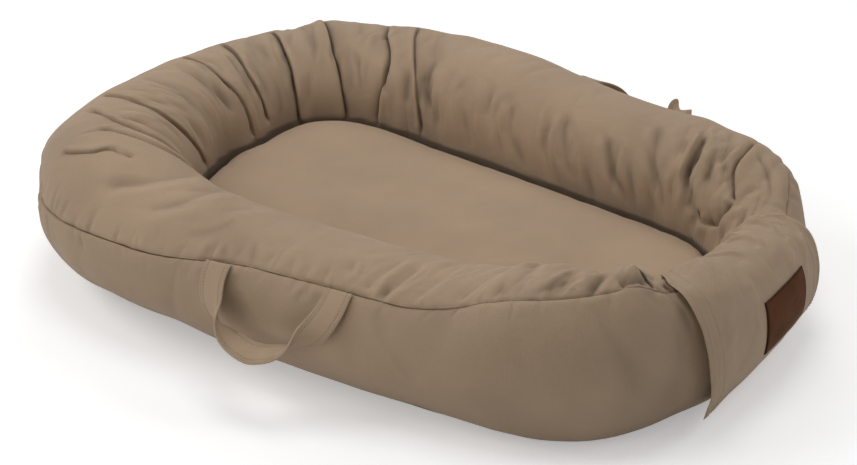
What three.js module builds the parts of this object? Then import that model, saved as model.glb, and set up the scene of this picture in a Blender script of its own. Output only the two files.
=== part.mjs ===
// An infant lounger: a fibre-filled roll in a sewn cover round a lift-out mattress, with two
// carrying handles sewn in the side seam and a flap that wraps the foot end of the roll.
// Millimetres, +Z up, the head end at -X, the foot end at +X, resting on z = 0.
import * as THREE from 'three';

// Plan of the nest, seen from above. Its widths are those where the head and foot curves begin,
// and between and past those places the sides run in straight lines towards each other.
const nestLength = 900;
const headWidth = 636;
const footWidth = 564;
const headRound = 407;
const footRound = 238;
const headFullness = 2.6;
const footFullness = 2.6;

// Plan of the hollow inside the roll.
const headRollWidth = 167;
const footRollWidth = 98;
const hollowHeadWidth = 306;
const hollowFootWidth = 256;
const hollowHeadRound = 205;
const hollowFootRound = 115;
const hollowHeadFullness = 3.4;
const hollowFootFullness = 3.4;

// Quarter of the way round that the foot curve, the side and the head curve each take.
const footArcShare = 0.163;
const headArcShare = 0.237;

// The roll's height at sixteen even places from the foot, by the far side and the head, and back.
const rollHeight = 172;
const rollHeightShares = [
  0.826, 0.76, 1, 0.99, 1.04, 1.01, 0.96, 0.95, 1.006, 1.047, 1.125, 0.98, 0.91, 0.91, 1.08, 0.995,
];
const upperOuterFullness = 2.3;
const lowerOuterFullness = 1.9;
const upperInnerFullness = 2.06;
const lowerInnerFullness = 2.3;
const flatBottomShare = 0.08;

// The sewn cover: a side band up to a seam high on the outside, and a gathered top panel. The
// seam's height is given at the same sixteen places, and it stays below the top of the roll.
const seamHeight = 140;
const seamHeightShares = [1, 0.97, 1, 1, 1, 1, 1, 1, 1, 0.94, 0.86, 0.92, 1, 1, 1.27, 1.22];
const seamLimitShare = 0.97;
const seamBlend = 20;
const coverThickness = 8;
const foldDepth = 6;
const bottomSeamAngle = -96;
const layerGap = 0.3;

// Folds of the top panel: place round the roll, drift to the inside, width, and the angles
// over the roll's section between which each runs. Depths are shares of foldDepth.
const foldShares = [
  { place: 0.323, drift: -0.02, width: 0.013, depth: 1 },
  { place: 0.365, drift: -0.022, width: 0.011, depth: 0.8 },
  { place: 0.396, drift: -0.02, width: 0.012, depth: 1 },
  { place: 0.427, drift: 0.004, width: 0.012, depth: 0.9 },
  { place: 0.4635, drift: 0, width: 0.013, depth: 0.8 },
  { place: 0.5, drift: -0.012, width: 0.013, depth: 0.7 },
  { place: 0.542, drift: -0.014, width: 0.013, depth: 0.9 },
  { place: 0.6, drift: -0.03, width: 0.014, depth: 0.9 },
  { place: 0.8125, drift: 0.02, width: 0.013, depth: 0.6 },
  { place: 0.865, drift: 0.01, width: 0.012, depth: 0.8 },
  { place: 0.125, drift: 0.012, width: 0.013, depth: 0.9 },
  { place: 0.2085, drift: 0.006, width: 0.012, depth: 0.5 },
];
const foldStartAngle = 75;
const foldEndAngle = 200;

// The filled inner roll: a liner tube round fibre, its two ends meeting at the foot.
const linerThickness = 1.2;
const linerSlack = 8;
const fibreSlack = 2.4;
const rollEndShare = 0.0004;

// The base: a grip sheet under a padded panel, inset from the roll's outside.
const baseInset = 46;
const gripInset = 4;
const gripThickness = 1.2;
const basePanelThickness = 4;
const baseTop = gripThickness + basePanelThickness + 2 * layerGap;

// The mattress: a foam core in a cover of a crowned top and a shallow tray.
const mattressClearance = 6;
const mattressHeight = 73;
const mattressCrown = 9;
const mattressEdgeRadius = 14;
const mattressCoverThickness = 1.5;
const mattressSeamHeight = 22;

// The handles: one width of strap, sewn into the side seam by both ends.
const strapWidth = 30;
const strapThickness = 3;
const strapSpan = 142;
const strapTilt = 14;
const nearHandle = { place: 13, side: -1, reach: 60, reachPower: 0.75, drop: 59, dropPower: 1, rise: 0, lead: 2.7 };
const farHandle = { place: 118, side: 1, reach: 58, reachPower: 0.8, drop: 45, dropPower: 2.5, rise: 20, lead: 0.9 };

// The foot flap: cloth that runs from the hollow's foot edge over the roll and down outside.
const flapThickness = 3;
const flapGap = 4;
const flapGape = 9;
const flapHalfAngle = 27;
const flapWidthAngles = [150, 118, 84, 60, 30, -20];
const flapWidthShares = [1, 1.1, 1.2, 1.18, 1.1, 0.99];
const flapHingeInset = 4;
const flapHingeHeight = 88;
const flapTopAngle = 150;
const flapSideAngle = -20;
const flapHemHeight = 4.5;
const flapHemInset = 8;
const flapFoldDepth = 2;
const flapFoldAngle = 52;
const flapFoldCount = 7;
const flapRootInset = 1.2;
const flapRootThickness = 1.2;
const flapRootShare = 0.8;

// Hook and loop strips that hold the flap's lower end to the side band.
const stripThickness = 1.1;
const hookGap = 0.7;
const stripHalfAngle = 20;
const stripTopAngle = 6;
const stripBottomAngle = -14;

// The leather patch on the outside of the flap, off its middle towards the far side.
const patchWidth = 98;
const patchThickness = 1.8;
const patchGap = 0.6;
const patchPlace = 25;
const patchTopAngle = 31;
const patchBottomAngle = -13;

// The cover's zip across the underside: a coil under two tapes, in a slot of the base.
const zipPlace = -120;
const zipLength = 240;
const zipTapeWidth = 12;
const zipTapeThickness = 0.6;
const zipTapeGap = 0.6;
const zipCoilWidth = 3.6;
const zipCoilHeight = 1.2;
const zipToothPitch = 6;
const zipToothGap = 2;
const zipSliderLength = 12;
const zipSliderWall = 0.7;

// How finely curved surfaces are drawn.
const aroundSteps = 96;
const innerSteps = 40;
const bandSteps = 6;
const panelSteps = 7;
const sectionSteps = 10;
const strapSteps = 30;
const flapSteps = 14;
const flapTurns = 10;

// Shares of a size, chosen by hand: the crown's rings, the flap's hem and the strap's section.
const crownShares = [0.85, 0.62, 0.36, 0.14];
const hemShares = [0.5, 1];
const strapSectionShares = [[-0.5, -0.3], [-0.42, -0.5], [0.42, -0.5], [0.5, -0.3], [0.5, 0.3], [0.42, 0.5], [-0.42, 0.5], [-0.5, 0.3]];

const clothColor = new THREE.Color(0.62, 0.53, 0.44);

function cloth(shade = 1) {
  const color = clothColor.clone().multiplyScalar(shade);
  return new THREE.MeshStandardMaterial({ color, roughness: 0.9, metalness: 0 });
}

function plain(red, green, blue, roughness) {
  const color = new THREE.Color(red, green, blue);
  return new THREE.MeshStandardMaterial({ color, roughness, metalness: 0 });
}

function radians(degrees) {
  return THREE.MathUtils.degToRad(degrees);
}

// A closed mesh from points and triangles, turned where needed so that its faces point out.
function solid(points, index) {
  let volume = 0;
  for (let i = 0; i < index.length; i += 3) {
    const [a, b, c] = [points[index[i]], points[index[i + 1]], points[index[i + 2]]];
    volume += a.dot(b.clone().cross(c));
  }
  if (volume < 0) index.reverse();
  const geometry = new THREE.BufferGeometry();
  geometry.setAttribute('position', new THREE.Float32BufferAttribute(points.flatMap((p) => p.toArray()), 3));
  geometry.setIndex(index);
  geometry.computeVertexNormals();
  return geometry;
}

// A body from rings of points, each ring as long as the others; an open stack gets fan caps.
function loft(rings, closed) {
  const count = rings[0].length;
  const points = rings.flat();
  const index = [];
  const last = closed ? rings.length : rings.length - 1;
  for (let i = 0; i < last; i += 1) {
    const next = (i + 1) % rings.length;
    for (let j = 0; j < count; j += 1) {
      const after = (j + 1) % count;
      const a = i * count + j;
      const b = i * count + after;
      const c = next * count + after;
      const d = next * count + j;
      index.push(a, b, c, a, c, d);
    }
  }
  if (!closed) {
    for (const [ring, turned] of [[0, true], [rings.length - 1, false]]) {
      const centre = new THREE.Vector3();
      for (const point of rings[ring]) centre.addScaledVector(point, 1 / count);
      points.push(centre);
      for (let j = 0; j < count; j += 1) {
        const a = ring * count + j;
        const b = ring * count + ((j + 1) % count);
        if (turned) index.push(points.length - 1, b, a);
        else index.push(points.length - 1, a, b);
      }
    }
  }
  return solid(points, index);
}

// A curved sheet with a real thickness, from two equal grids of points, outside and inside.
function sheet(outside, inside) {
  const rows = outside.map((row, i) => [...row, ...inside[i].slice().reverse()]);
  const count = rows[0].length;
  const half = count / 2;
  const points = rows.flat();
  const index = [];
  for (let i = 0; i < rows.length - 1; i += 1) {
    for (let j = 0; j < count; j += 1) {
      const after = (j + 1) % count;
      const a = i * count + j;
      const b = i * count + after;
      const c = (i + 1) * count + after;
      const d = (i + 1) * count + j;
      index.push(a, b, c, a, c, d);
    }
  }
  for (const [row, turned] of [[0, true], [rows.length - 1, false]]) {
    for (let j = 0; j < half - 1; j += 1) {
      const a = row * count + j;
      const b = a + 1;
      const c = row * count + count - 2 - j;
      const d = row * count + count - 1 - j;
      if (turned) index.push(a, c, b, a, d, c);
      else index.push(a, b, c, a, c, d);
    }
  }
  return solid(points, index);
}

const nest = new THREE.Group();

function add(name, geometry, material) {
  const mesh = new THREE.Mesh(geometry, material);
  mesh.name = name;
  nest.add(mesh);
  return mesh;
}

const outsideReach = flapGap + flapThickness + patchGap + patchThickness;
const outerPlan = {
  head: -nestLength / 2, foot: nestLength / 2 - outsideReach,
  headHalf: headWidth / 2, footHalf: footWidth / 2, headRound, footRound, headFullness, footFullness,
};
const hollowPlan = {
  head: outerPlan.head + headRollWidth, foot: outerPlan.foot - footRollWidth,
  headHalf: hollowHeadWidth / 2, footHalf: hollowFootWidth / 2,
  headRound: hollowHeadRound, footRound: hollowFootRound,
  headFullness: hollowHeadFullness, footFullness: hollowFootFullness,
};

// A point of a rounded corner, as shares of its reach and half width, by its angle.
function corner(angle, fullness) {
  const c = Math.cos(angle);
  const s = Math.sin(angle);
  const size = (Math.abs(c) ** fullness + Math.abs(s) ** fullness) ** (-1 / fullness);
  return new THREE.Vector2(c * size, s * size);
}

// Half the width of a plan at a place along it, before its ends are rounded.
function halfWidth(plan, x) {
  const footStart = plan.foot - plan.footRound;
  const headStart = plan.head + plan.headRound;
  return THREE.MathUtils.mapLinear(x, footStart, headStart, plan.footHalf, plan.headHalf);
}

// A point of a plan outline; the share runs from the foot by the far side and the head.
function planPoint(plan, share) {
  const turned = share - Math.floor(share);
  const side = turned > 0.5 ? -1 : 1;
  const along = side > 0 ? turned : 1 - turned;
  const footStart = plan.foot - plan.footRound;
  const headStart = plan.head + plan.headRound;
  let x = 0;
  let across = 1;
  if (along < footArcShare) {
    const at = corner(Math.PI / 2 * along / footArcShare, plan.footFullness);
    x = footStart + plan.footRound * at.x;
    across = at.y;
  } else if (along > 0.5 - headArcShare) {
    const at = corner(Math.PI / 2 * (0.5 - along) / headArcShare, plan.headFullness);
    x = headStart - plan.headRound * at.x;
    across = at.y;
  } else {
    x = THREE.MathUtils.mapLinear(along, footArcShare, 0.5 - headArcShare, footStart, headStart);
  }
  return new THREE.Vector2(x, side * across * halfWidth(plan, x));
}

// One of a list's values at even places round the roll, smooth between the stated places.
function valueRound(shares, share) {
  const count = shares.length;
  const at = (share - Math.floor(share)) * count;
  const from = Math.floor(at) % count;
  const ease = THREE.MathUtils.smoothstep(at - Math.floor(at), 0, 1);
  return THREE.MathUtils.lerp(shares[from], shares[(from + 1) % count], ease);
}

function heightAt(share) {
  return rollHeight * valueRound(rollHeightShares, share);
}

// A point of the roll's section: the angle is 0 outside, 90 on top, 180 inside, in degrees.
function rollPoint(share, degrees, inset = 0) {
  const outer = planPoint(outerPlan, share);
  const across = planPoint(hollowPlan, share).sub(outer);
  const width = across.length();
  across.normalize();
  const c = Math.cos(radians(degrees));
  const s = Math.sin(radians(degrees));
  const upper = s > 0;
  const outside = c > 0;
  let fullness = upper ? upperInnerFullness : lowerInnerFullness;
  if (outside) fullness = upper ? upperOuterFullness : lowerOuterFullness;
  const halfHeight = (heightAt(share) - baseTop) / (2 - flatBottomShare);
  const middle = heightAt(share) - halfHeight;
  const u = (width / 2 - inset) * Math.sign(c) * Math.abs(c) ** (2 / fullness);
  const v = (halfHeight - inset) * Math.sign(s) * Math.abs(s) ** (2 / fullness);
  const plan = outer.addScaledVector(across, width / 2 - u);
  return new THREE.Vector3(plan.x, plan.y, Math.max(middle + v, baseTop + inset));
}

// The angle of the seam between side band and top panel, at a place round the roll.
function seamAngle(share) {
  const height = heightAt(share);
  const limit = seamLimitShare * height;
  const wanted = seamHeight * valueRound(seamHeightShares, share);
  const z = ((1 / wanted) ** seamBlend + (1 / limit) ** seamBlend) ** (-1 / seamBlend);
  const halfHeight = (height - baseTop) / (2 - flatBottomShare);
  const up = (z - height + halfHeight) / halfHeight;
  return THREE.MathUtils.radToDeg(Math.asin(up ** (upperOuterFullness / 2)));
}

// How deep the top panel is folded at a place of the roll.
function foldAt(share, degrees) {
  const run = (degrees - foldStartAngle) / (foldEndAngle - foldStartAngle);
  if (run <= 0 || run >= 1) return 0;
  const fade = Math.sin(Math.PI * Math.sqrt(run));
  let depth = 0;
  for (const fold of foldShares) {
    let off = share - fold.place - fold.drift * run;
    off -= Math.round(off);
    depth = Math.max(depth, fold.depth * fade * Math.exp(-((off / fold.width) ** 2)));
  }
  return foldDepth * depth;
}

function anglesBetween(from, to, steps) {
  return Array.from({ length: steps + 1 }, (_, i) => THREE.MathUtils.lerp(from, to, i / steps));
}

// One piece of the cover, as a ring whose section runs between two angles of the roll.
function coverRing(fromAngle, toAngle, outsideSteps, insideSteps, fold) {
  const rings = [];
  for (let i = 0; i < aroundSteps; i += 1) {
    const share = i / aroundSteps;
    const from = fromAngle(share);
    const to = toAngle(share);
    const outside = anglesBetween(from, to, outsideSteps)
      .map((degrees) => rollPoint(share, degrees, fold(share, degrees)));
    const inside = anglesBetween(to, from, insideSteps)
      .map((degrees) => rollPoint(share, degrees, coverThickness));
    rings.push([...outside, ...inside]);
  }
  return loft(rings, true);
}

// The turn, in degrees, that opens a gap of two clearances in a seam of the cover.
const seamTurn = THREE.MathUtils.radToDeg(4 * layerGap / footRollWidth);
const bottomAngle = () => bottomSeamAngle;
const innerBottomAngle = () => 360 + bottomSeamAngle - seamTurn;
const bandTopAngle = (share) => seamAngle(share) - seamTurn;

function addCover() {
  add('side_band', coverRing(bottomAngle, bandTopAngle, bandSteps, bandSteps - 1, () => 0), cloth(0.85));
  add('top_panel', coverRing(seamAngle, innerBottomAngle, panelSteps, panelSteps - 1, foldAt), cloth(1));
}

// One tube of the filled roll, from one end at the foot round the head to the other end.
function rollRings(inset, steps, sectionSteps) {
  return Array.from({ length: steps + 1 }, (_, i) => {
    const share = THREE.MathUtils.lerp(rollEndShare, 1 - rollEndShare, i / steps);
    return Array.from({ length: sectionSteps }, (_, j) => rollPoint(share, 360 * j / sectionSteps, inset));
  });
}

function addFilledRoll() {
  const inset = coverThickness + linerSlack;
  const outside = rollRings(inset, innerSteps, sectionSteps);
  const inside = rollRings(inset + linerThickness, innerSteps, sectionSteps);
  add('roll_liner', loft([...outside, ...inside.reverse()], true), plain(0.88, 0.87, 0.84, 0.95));
  const fill = rollRings(inset + linerThickness + fibreSlack, innerSteps, sectionSteps);
  add('roll_fibre_filling', loft(fill, false), plain(0.95, 0.95, 0.94, 1));
}

// A plan outline as a shape, moved inwards from the roll's outside.
function insetShape(inset) {
  const points = Array.from({ length: innerSteps }, (_, i) => {
    const outer = planPoint(outerPlan, i / innerSteps);
    const across = planPoint(hollowPlan, i / innerSteps).sub(outer).normalize();
    return outer.addScaledVector(across, inset);
  });
  return new THREE.Shape(points);
}

function addBase() {
  const grip = insetShape(baseInset + gripInset);
  const panel = insetShape(baseInset);
  const halfWidth = zipTapeWidth / 2 + layerGap;
  const halfLength = zipLength / 2 + layerGap;
  for (const shape of [grip, panel]) {
    shape.holes.push(new THREE.Path([
      new THREE.Vector2(zipPlace - halfWidth, -halfLength),
      new THREE.Vector2(zipPlace + halfWidth, -halfLength),
      new THREE.Vector2(zipPlace + halfWidth, halfLength),
      new THREE.Vector2(zipPlace - halfWidth, halfLength),
    ]));
  }
  const options = { bevelEnabled: false };
  add('grip_sheet', new THREE.ExtrudeGeometry(grip, { ...options, depth: gripThickness }), plain(0.12, 0.12, 0.12, 0.9));
  const base = add('base_panel', new THREE.ExtrudeGeometry(panel, { ...options, depth: basePanelThickness }), cloth(0.8));
  base.position.z = gripThickness + layerGap;
}

// The mattress outline at a height, moved inwards and drawn towards its middle.
function mattressRing(inset, z, scale = 1) {
  const middle = (hollowPlan.head + hollowPlan.foot) / 2;
  return Array.from({ length: innerSteps }, (_, i) => {
    const edge = planPoint(hollowPlan, i / innerSteps);
    const across = edge.clone().sub(planPoint(outerPlan, i / innerSteps)).normalize();
    edge.addScaledVector(across, inset);
    return new THREE.Vector3(middle + (edge.x - middle) * scale, edge.y * scale, z);
  });
}

// Rings over a crowned pad, from its edge at a height up the side and in to the middle.
function crownRings(inset, bottom, top) {
  const radius = mattressEdgeRadius;
  const rings = [mattressRing(inset, bottom), mattressRing(inset, top - radius)];
  for (const degrees of [35, 65, 90]) {
    const turn = radians(degrees);
    rings.push(mattressRing(inset + radius * (1 - Math.cos(turn)), top - radius * (1 - Math.sin(turn))));
  }
  for (const scale of crownShares) {
    rings.push(mattressRing(inset + radius, top + mattressCrown * (1 - scale ** 2), scale));
  }
  return rings;
}

function addMattress() {
  const bottom = baseTop;
  const top = bottom + mattressHeight;
  const wall = mattressCoverThickness;
  const seam = bottom + mattressSeamHeight;
  const outside = crownRings(mattressClearance, seam + layerGap, top);
  const inside = crownRings(mattressClearance + wall, seam + layerGap, top - wall);
  const foam = crownRings(mattressClearance + wall + layerGap, bottom + wall + layerGap, top - wall - layerGap);
  add('mattress_foam', loft(foam, false), plain(0.93, 0.9, 0.78, 0.9));
  add('mattress_cover_top', loft([...inside.reverse(), ...outside], false), cloth(1));
  const tray = [
    mattressRing(mattressClearance + wall, bottom + wall), mattressRing(mattressClearance + wall, seam),
    mattressRing(mattressClearance, seam), mattressRing(mattressClearance, bottom),
  ];
  add('mattress_cover_base', loft(tray, false), cloth(0.9));
}

// The seam's point on one side of the nest at a distance along it, found by halving.
function seamPoint(x, side) {
  let low = footArcShare;
  let high = 0.5 - headArcShare / 2;
  const at = (share) => rollPoint(side > 0 ? share : 1 - share, seamAngle(side > 0 ? share : 1 - share));
  for (let i = 0; i < 30; i += 1) {
    const middle = (low + high) / 2;
    if (at(middle).x > x) low = middle;
    else high = middle;
  }
  return at(low);
}

// A strap loop: it leaves the seam, turns face up, and comes back to the seam.
function handle({ place, side, reach, reachPower, drop, dropPower, rise, lead }) {
  const start = seamPoint(place - strapSpan / 2, side);
  const end = seamPoint(place + strapSpan / 2, side);
  const along = end.clone().sub(start).setZ(0);
  const span = along.length();
  along.normalize();
  const out = new THREE.Vector3(-along.y, along.x, 0).multiplyScalar(side);
  const up = new THREE.Vector3(0, 0, 1);
  const at = (turn) => {
    const s = Math.max(Math.sin(turn), 0);
    const height = rise * Math.abs(Math.sin(2 * turn)) - drop * s ** dropPower;
    return start.clone()
      .addScaledVector(along, span / 2 * (1 - Math.cos(turn)))
      .addScaledVector(out, lead + reach * s ** reachPower)
      .addScaledVector(up, height + (end.z - start.z) * turn / Math.PI);
  };
  const face = out.clone().multiplyScalar(Math.cos(radians(strapTilt)))
    .addScaledVector(up, -Math.sin(radians(strapTilt)));
  const step = Math.PI / strapSteps;
  const rings = [];
  for (let i = 0; i <= strapSteps; i += 1) {
    const turn = i * step;
    const middle = at(turn);
    const tangent = at(Math.min(turn + step / 2, Math.PI)).sub(at(Math.max(turn - step / 2, 0))).normalize();
    const wide = along.clone().multiplyScalar(Math.cos(turn)).addScaledVector(face, Math.sin(turn));
    wide.addScaledVector(tangent, -wide.dot(tangent)).normalize();
    const thick = wide.clone().cross(tangent);
    rings.push(strapSectionShares.map(([w, t]) => middle.clone()
      .addScaledVector(wide, w * strapWidth).addScaledVector(thick, t * strapThickness)));
  }
  return loft(rings, false);
}

// The share round the foot of the roll of a place across the nest, near its middle.
const shareAcross = footArcShare / (Math.PI / 2) / halfWidth(outerPlan, outerPlan.foot);

const flapHalfShare = footArcShare * flapHalfAngle / 90;

// Half the flap's width at an angle of the roll's section: it is widest over the roll's top.
function flapHalfAt(degrees) {
  const last = flapWidthAngles.length - 1;
  if (degrees >= flapWidthAngles[0]) return flapHalfShare * flapWidthShares[0];
  if (degrees <= flapWidthAngles[last]) return flapHalfShare * flapWidthShares[last];
  const i = flapWidthAngles.findIndex((angle) => angle < degrees) - 1;
  return flapHalfShare * THREE.MathUtils.mapLinear(
    degrees, flapWidthAngles[i], flapWidthAngles[i + 1], flapWidthShares[i], flapWidthShares[i + 1],
  );
}

// How far the flap stands off its gap: its sides gape low down, and folds fan over its top.
function flapEase(share, degrees) {
  const across = share / flapHalfAt(degrees);
  const low = 1 - THREE.MathUtils.smoothstep(degrees, 0, 90);
  const high = THREE.MathUtils.smoothstep(degrees, flapFoldAngle, flapTopAngle);
  const ripple = Math.sin(Math.PI * flapFoldCount * across) ** 2;
  return flapGape * across ** 4 * low + flapFoldDepth * ripple * high;
}

// A sheet laid over the foot of the roll, between two shares round it and two angles.
function overFoot({ shares, angles, lift, thickness, ease, steps, turns }) {
  const grid = (inset) => Array.from({ length: steps + 1 }, (_, i) => {
    const share = THREE.MathUtils.lerp(...shares, i / steps);
    return anglesBetween(...angles, turns)
      .map((degrees) => rollPoint(share, degrees, -inset - ease(share, degrees)));
  });
  return sheet(grid(lift + thickness), grid(lift));
}

// The foot flap as rows from its hinge line over the roll to its hem.
function flapGrid(lift) {
  return Array.from({ length: flapSteps + 1 }, (_, i) => {
    const across = THREE.MathUtils.lerp(-1, 1, i / flapSteps);
    const seam = planPoint(hollowPlan, across * flapHalfShare);
    const hinge = new THREE.Vector3(hollowPlan.foot - flapHingeInset, seam.y, flapHingeHeight);
    hinge.z += lift - flapThickness / 2;
    const row = [hinge];
    for (const degrees of anglesBetween(flapTopAngle, flapSideAngle, flapTurns)) {
      const share = across * flapHalfAt(degrees);
      row.push(rollPoint(share, degrees, -flapGap - lift - flapEase(share, degrees)));
    }
    const side = row[row.length - 1];
    const low = across * flapHalfAt(flapSideAngle);
    const hem = planPoint(outerPlan, low);
    const away = hem.clone().sub(planPoint(hollowPlan, low)).normalize();
    hem.addScaledVector(away, lift + flapEase(low, flapSideAngle) - flapHemInset);
    for (const part of hemShares) {
      row.push(side.clone().lerp(new THREE.Vector3(hem.x, hem.y, flapHemHeight), part));
    }
    return row;
  });
}

function addFlap() {
  add('foot_flap', sheet(flapGrid(flapThickness), flapGrid(0)), cloth(0.95));
  const rootRows = Array.from({ length: 9 }, (_, i) => {
    const share = flapHalfShare * flapRootShare * (i / 4 - 1);
    const wall = planPoint(hollowPlan, share);
    const inwards = wall.clone().sub(planPoint(outerPlan, share)).normalize();
    return [wall, inwards];
  });
  const rootGrid = (inset) => rootRows.map(([wall, inwards]) => {
    const at = wall.clone().addScaledVector(inwards, inset);
    return [baseTop, flapHingeHeight - flapThickness / 2 - layerGap * 2]
      .map((z) => new THREE.Vector3(at.x, at.y, z));
  });
  add('flap_root', sheet(rootGrid(flapRootInset + flapRootThickness), rootGrid(flapRootInset)), cloth(0.9));
  const stripShare = footArcShare * stripHalfAngle / 90;
  const strip = {
    shares: [-stripShare, stripShare], angles: [stripTopAngle, stripBottomAngle],
    thickness: stripThickness, steps: 8, turns: 2,
  };
  const hookLift = flapGap - hookGap - stripThickness;
  add('loop_strip', overFoot({ ...strip, lift: layerGap, ease: () => 0 }), plain(0.35, 0.3, 0.25, 1));
  add('hook_strip', overFoot({ ...strip, lift: hookLift, ease: flapEase }), plain(0.3, 0.26, 0.22, 0.8));
  const middle = patchPlace * shareAcross;
  const half = patchWidth / 2 * shareAcross;
  add('leather_patch', overFoot({
    shares: [middle - half, middle + half], angles: [patchTopAngle, patchBottomAngle],
    lift: flapGap + flapThickness + patchGap, thickness: patchThickness, ease: flapEase, steps: 8, turns: 4,
  }), plain(0.3, 0.19, 0.13, 0.6));
}

function box(name, low, high, material) {
  const size = high.clone().sub(low);
  const mesh = add(name, new THREE.BoxGeometry(size.x, size.y, size.z), material);
  mesh.position.copy(low).add(high).multiplyScalar(0.5);
}

function addZip() {
  const top = baseTop - layerGap;
  const tapeBottom = top - zipTapeThickness;
  const coilTop = tapeBottom - layerGap;
  const half = zipLength / 2;
  for (const [name, side] of [['zip_tape_head', -1], ['zip_tape_foot', 1]]) {
    const near = zipPlace + side * zipTapeGap / 2;
    const far = zipPlace + side * zipTapeWidth / 2;
    box(name, new THREE.Vector3(Math.min(near, far), -half, tapeBottom),
      new THREE.Vector3(Math.max(near, far), half, top), plain(0.45, 0.38, 0.32, 0.9));
  }
  const teeth = [];
  const count = Math.floor((zipLength - zipToothPitch) / zipToothPitch);
  const start = -count * zipToothPitch / 2;
  const halfTooth = zipCoilWidth / 2;
  const neck = halfTooth / 2;
  for (let i = 0; i < count; i += 1) {
    const y = start + i * zipToothPitch;
    teeth.push([neck, y], [neck, y + zipToothGap], [halfTooth, y + zipToothGap], [halfTooth, y + zipToothPitch]);
  }
  const outline = [...teeth, ...teeth.slice().reverse().map(([x, y]) => [-x, y])];
  const shape = new THREE.Shape(outline.map(([x, y]) => new THREE.Vector2(x, y)));
  const coil = add('zip_coil', new THREE.ExtrudeGeometry(shape, { depth: zipCoilHeight, bevelEnabled: false }), plain(0.4, 0.34, 0.28, 0.5));
  coil.position.set(zipPlace, 0, coilTop - zipCoilHeight);
  const inner = halfTooth + layerGap;
  const outer = inner + zipSliderWall;
  const floor = zipCoilHeight + layerGap;
  const channel = new THREE.Shape([
    new THREE.Vector2(-outer, -floor - zipSliderWall), new THREE.Vector2(outer, -floor - zipSliderWall),
    new THREE.Vector2(outer, 0), new THREE.Vector2(inner, 0), new THREE.Vector2(inner, -floor),
    new THREE.Vector2(-inner, -floor), new THREE.Vector2(-inner, 0), new THREE.Vector2(-outer, 0),
  ]);
  const slider = add('zip_slider', new THREE.ExtrudeGeometry(channel, { depth: zipSliderLength, bevelEnabled: false }), plain(0.5, 0.48, 0.45, 0.35));
  slider.rotation.x = Math.PI / 2;
  slider.position.set(zipPlace, -half + zipSliderLength + zipToothPitch, coilTop);
}

addCover();
addFilledRoll();
addBase();
addMattress();
add('near_handle', handle(nearHandle), cloth(0.95));
add('far_handle', handle(farHandle), cloth(0.95));
addFlap();
addZip();

// The origin is under the middle of the whole nest.
const extent = new THREE.Box3().setFromObject(nest);
const centre = extent.getCenter(new THREE.Vector3());
nest.position.set(-centre.x, -centre.y, 0);

export default nest;
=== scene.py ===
"""An infant lounger in taupe cotton: its gathered cover, mattress, strap handles, foot flap and base.

Sizes are in millimetres, as the solids' are, and every piece is put into the frame in metres.
"""

import math

import bmesh
import bpy
import numpy as np
from mathutils import Matrix, Vector


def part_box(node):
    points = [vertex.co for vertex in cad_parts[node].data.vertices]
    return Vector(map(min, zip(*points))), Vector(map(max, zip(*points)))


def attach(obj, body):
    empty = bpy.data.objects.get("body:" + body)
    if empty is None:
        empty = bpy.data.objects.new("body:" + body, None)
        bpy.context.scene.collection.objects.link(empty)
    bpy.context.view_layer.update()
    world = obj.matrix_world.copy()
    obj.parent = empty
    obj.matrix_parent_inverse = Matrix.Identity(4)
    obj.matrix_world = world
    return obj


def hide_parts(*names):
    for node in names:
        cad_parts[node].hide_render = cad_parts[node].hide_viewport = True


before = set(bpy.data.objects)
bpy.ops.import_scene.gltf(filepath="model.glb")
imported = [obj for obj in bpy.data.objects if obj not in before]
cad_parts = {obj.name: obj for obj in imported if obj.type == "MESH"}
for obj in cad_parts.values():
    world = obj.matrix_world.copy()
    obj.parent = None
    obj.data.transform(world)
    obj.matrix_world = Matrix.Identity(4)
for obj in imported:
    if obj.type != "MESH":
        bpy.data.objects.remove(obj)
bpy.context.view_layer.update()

# Plan of the nest and of the hollow in it. The solids have the same shape.
nest_length = 900
head_width = 636
foot_width = 564
head_roll_width = 167
foot_roll_width = 98
foot_arc_share = 0.163
head_arc_share = 0.237
flap_gap = 4
flap_thickness = 3
patch_gap = 0.6
patch_thickness = 1.8
outside_reach = flap_gap + flap_thickness + patch_gap + patch_thickness
outer_plan = {
    "head": -nest_length / 2,
    "foot": nest_length / 2 - outside_reach,
    "head_half": head_width / 2,
    "foot_half": foot_width / 2,
    "head_round": 407,
    "foot_round": 238,
    "head_fullness": 2.6,
    "foot_fullness": 2.6,
}
hollow_plan = {
    "head": outer_plan["head"] + head_roll_width,
    "foot": outer_plan["foot"] - foot_roll_width,
    "head_half": 153,
    "foot_half": 128,
    "head_round": 205,
    "foot_round": 115,
    "head_fullness": 3.4,
    "foot_fullness": 3.4,
}

hollow_middle = (hollow_plan["head"] + hollow_plan["foot"]) / 2
hollow_reach = (hollow_plan["foot"] - hollow_plan["head"]) / 2

# The roll's height and its seam's height at sixteen even places round it.
roll_height = 172
roll_height_shares = [
    0.826, 0.76, 1, 0.99, 1.04, 1.01, 0.96, 0.95, 1.006, 1.047, 1.125, 0.98, 0.91, 0.91, 1.08, 0.995,
]
seam_height = 140
seam_height_shares = [1, 0.97, 1, 1, 1, 1, 1, 1, 1, 0.94, 0.86, 0.92, 1, 1, 1.27, 1.22]
seam_limit_share = 0.97
seam_blend = 20
seam_pull = {"share": 0.918, "angle": 17.5, "spread": 0.03}
upper_outer_fullness = 2.3
lower_outer_fullness = 1.9
upper_inner_fullness = 2.06
lower_inner_fullness = 2.3
flat_bottom_share = 0.08
bottom_seam_angle = -96
layer_gap = 0.3
cover_thickness = 8
liner_slack = 8
liner_thickness = 1.2
fibre_slack = 2.4

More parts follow.
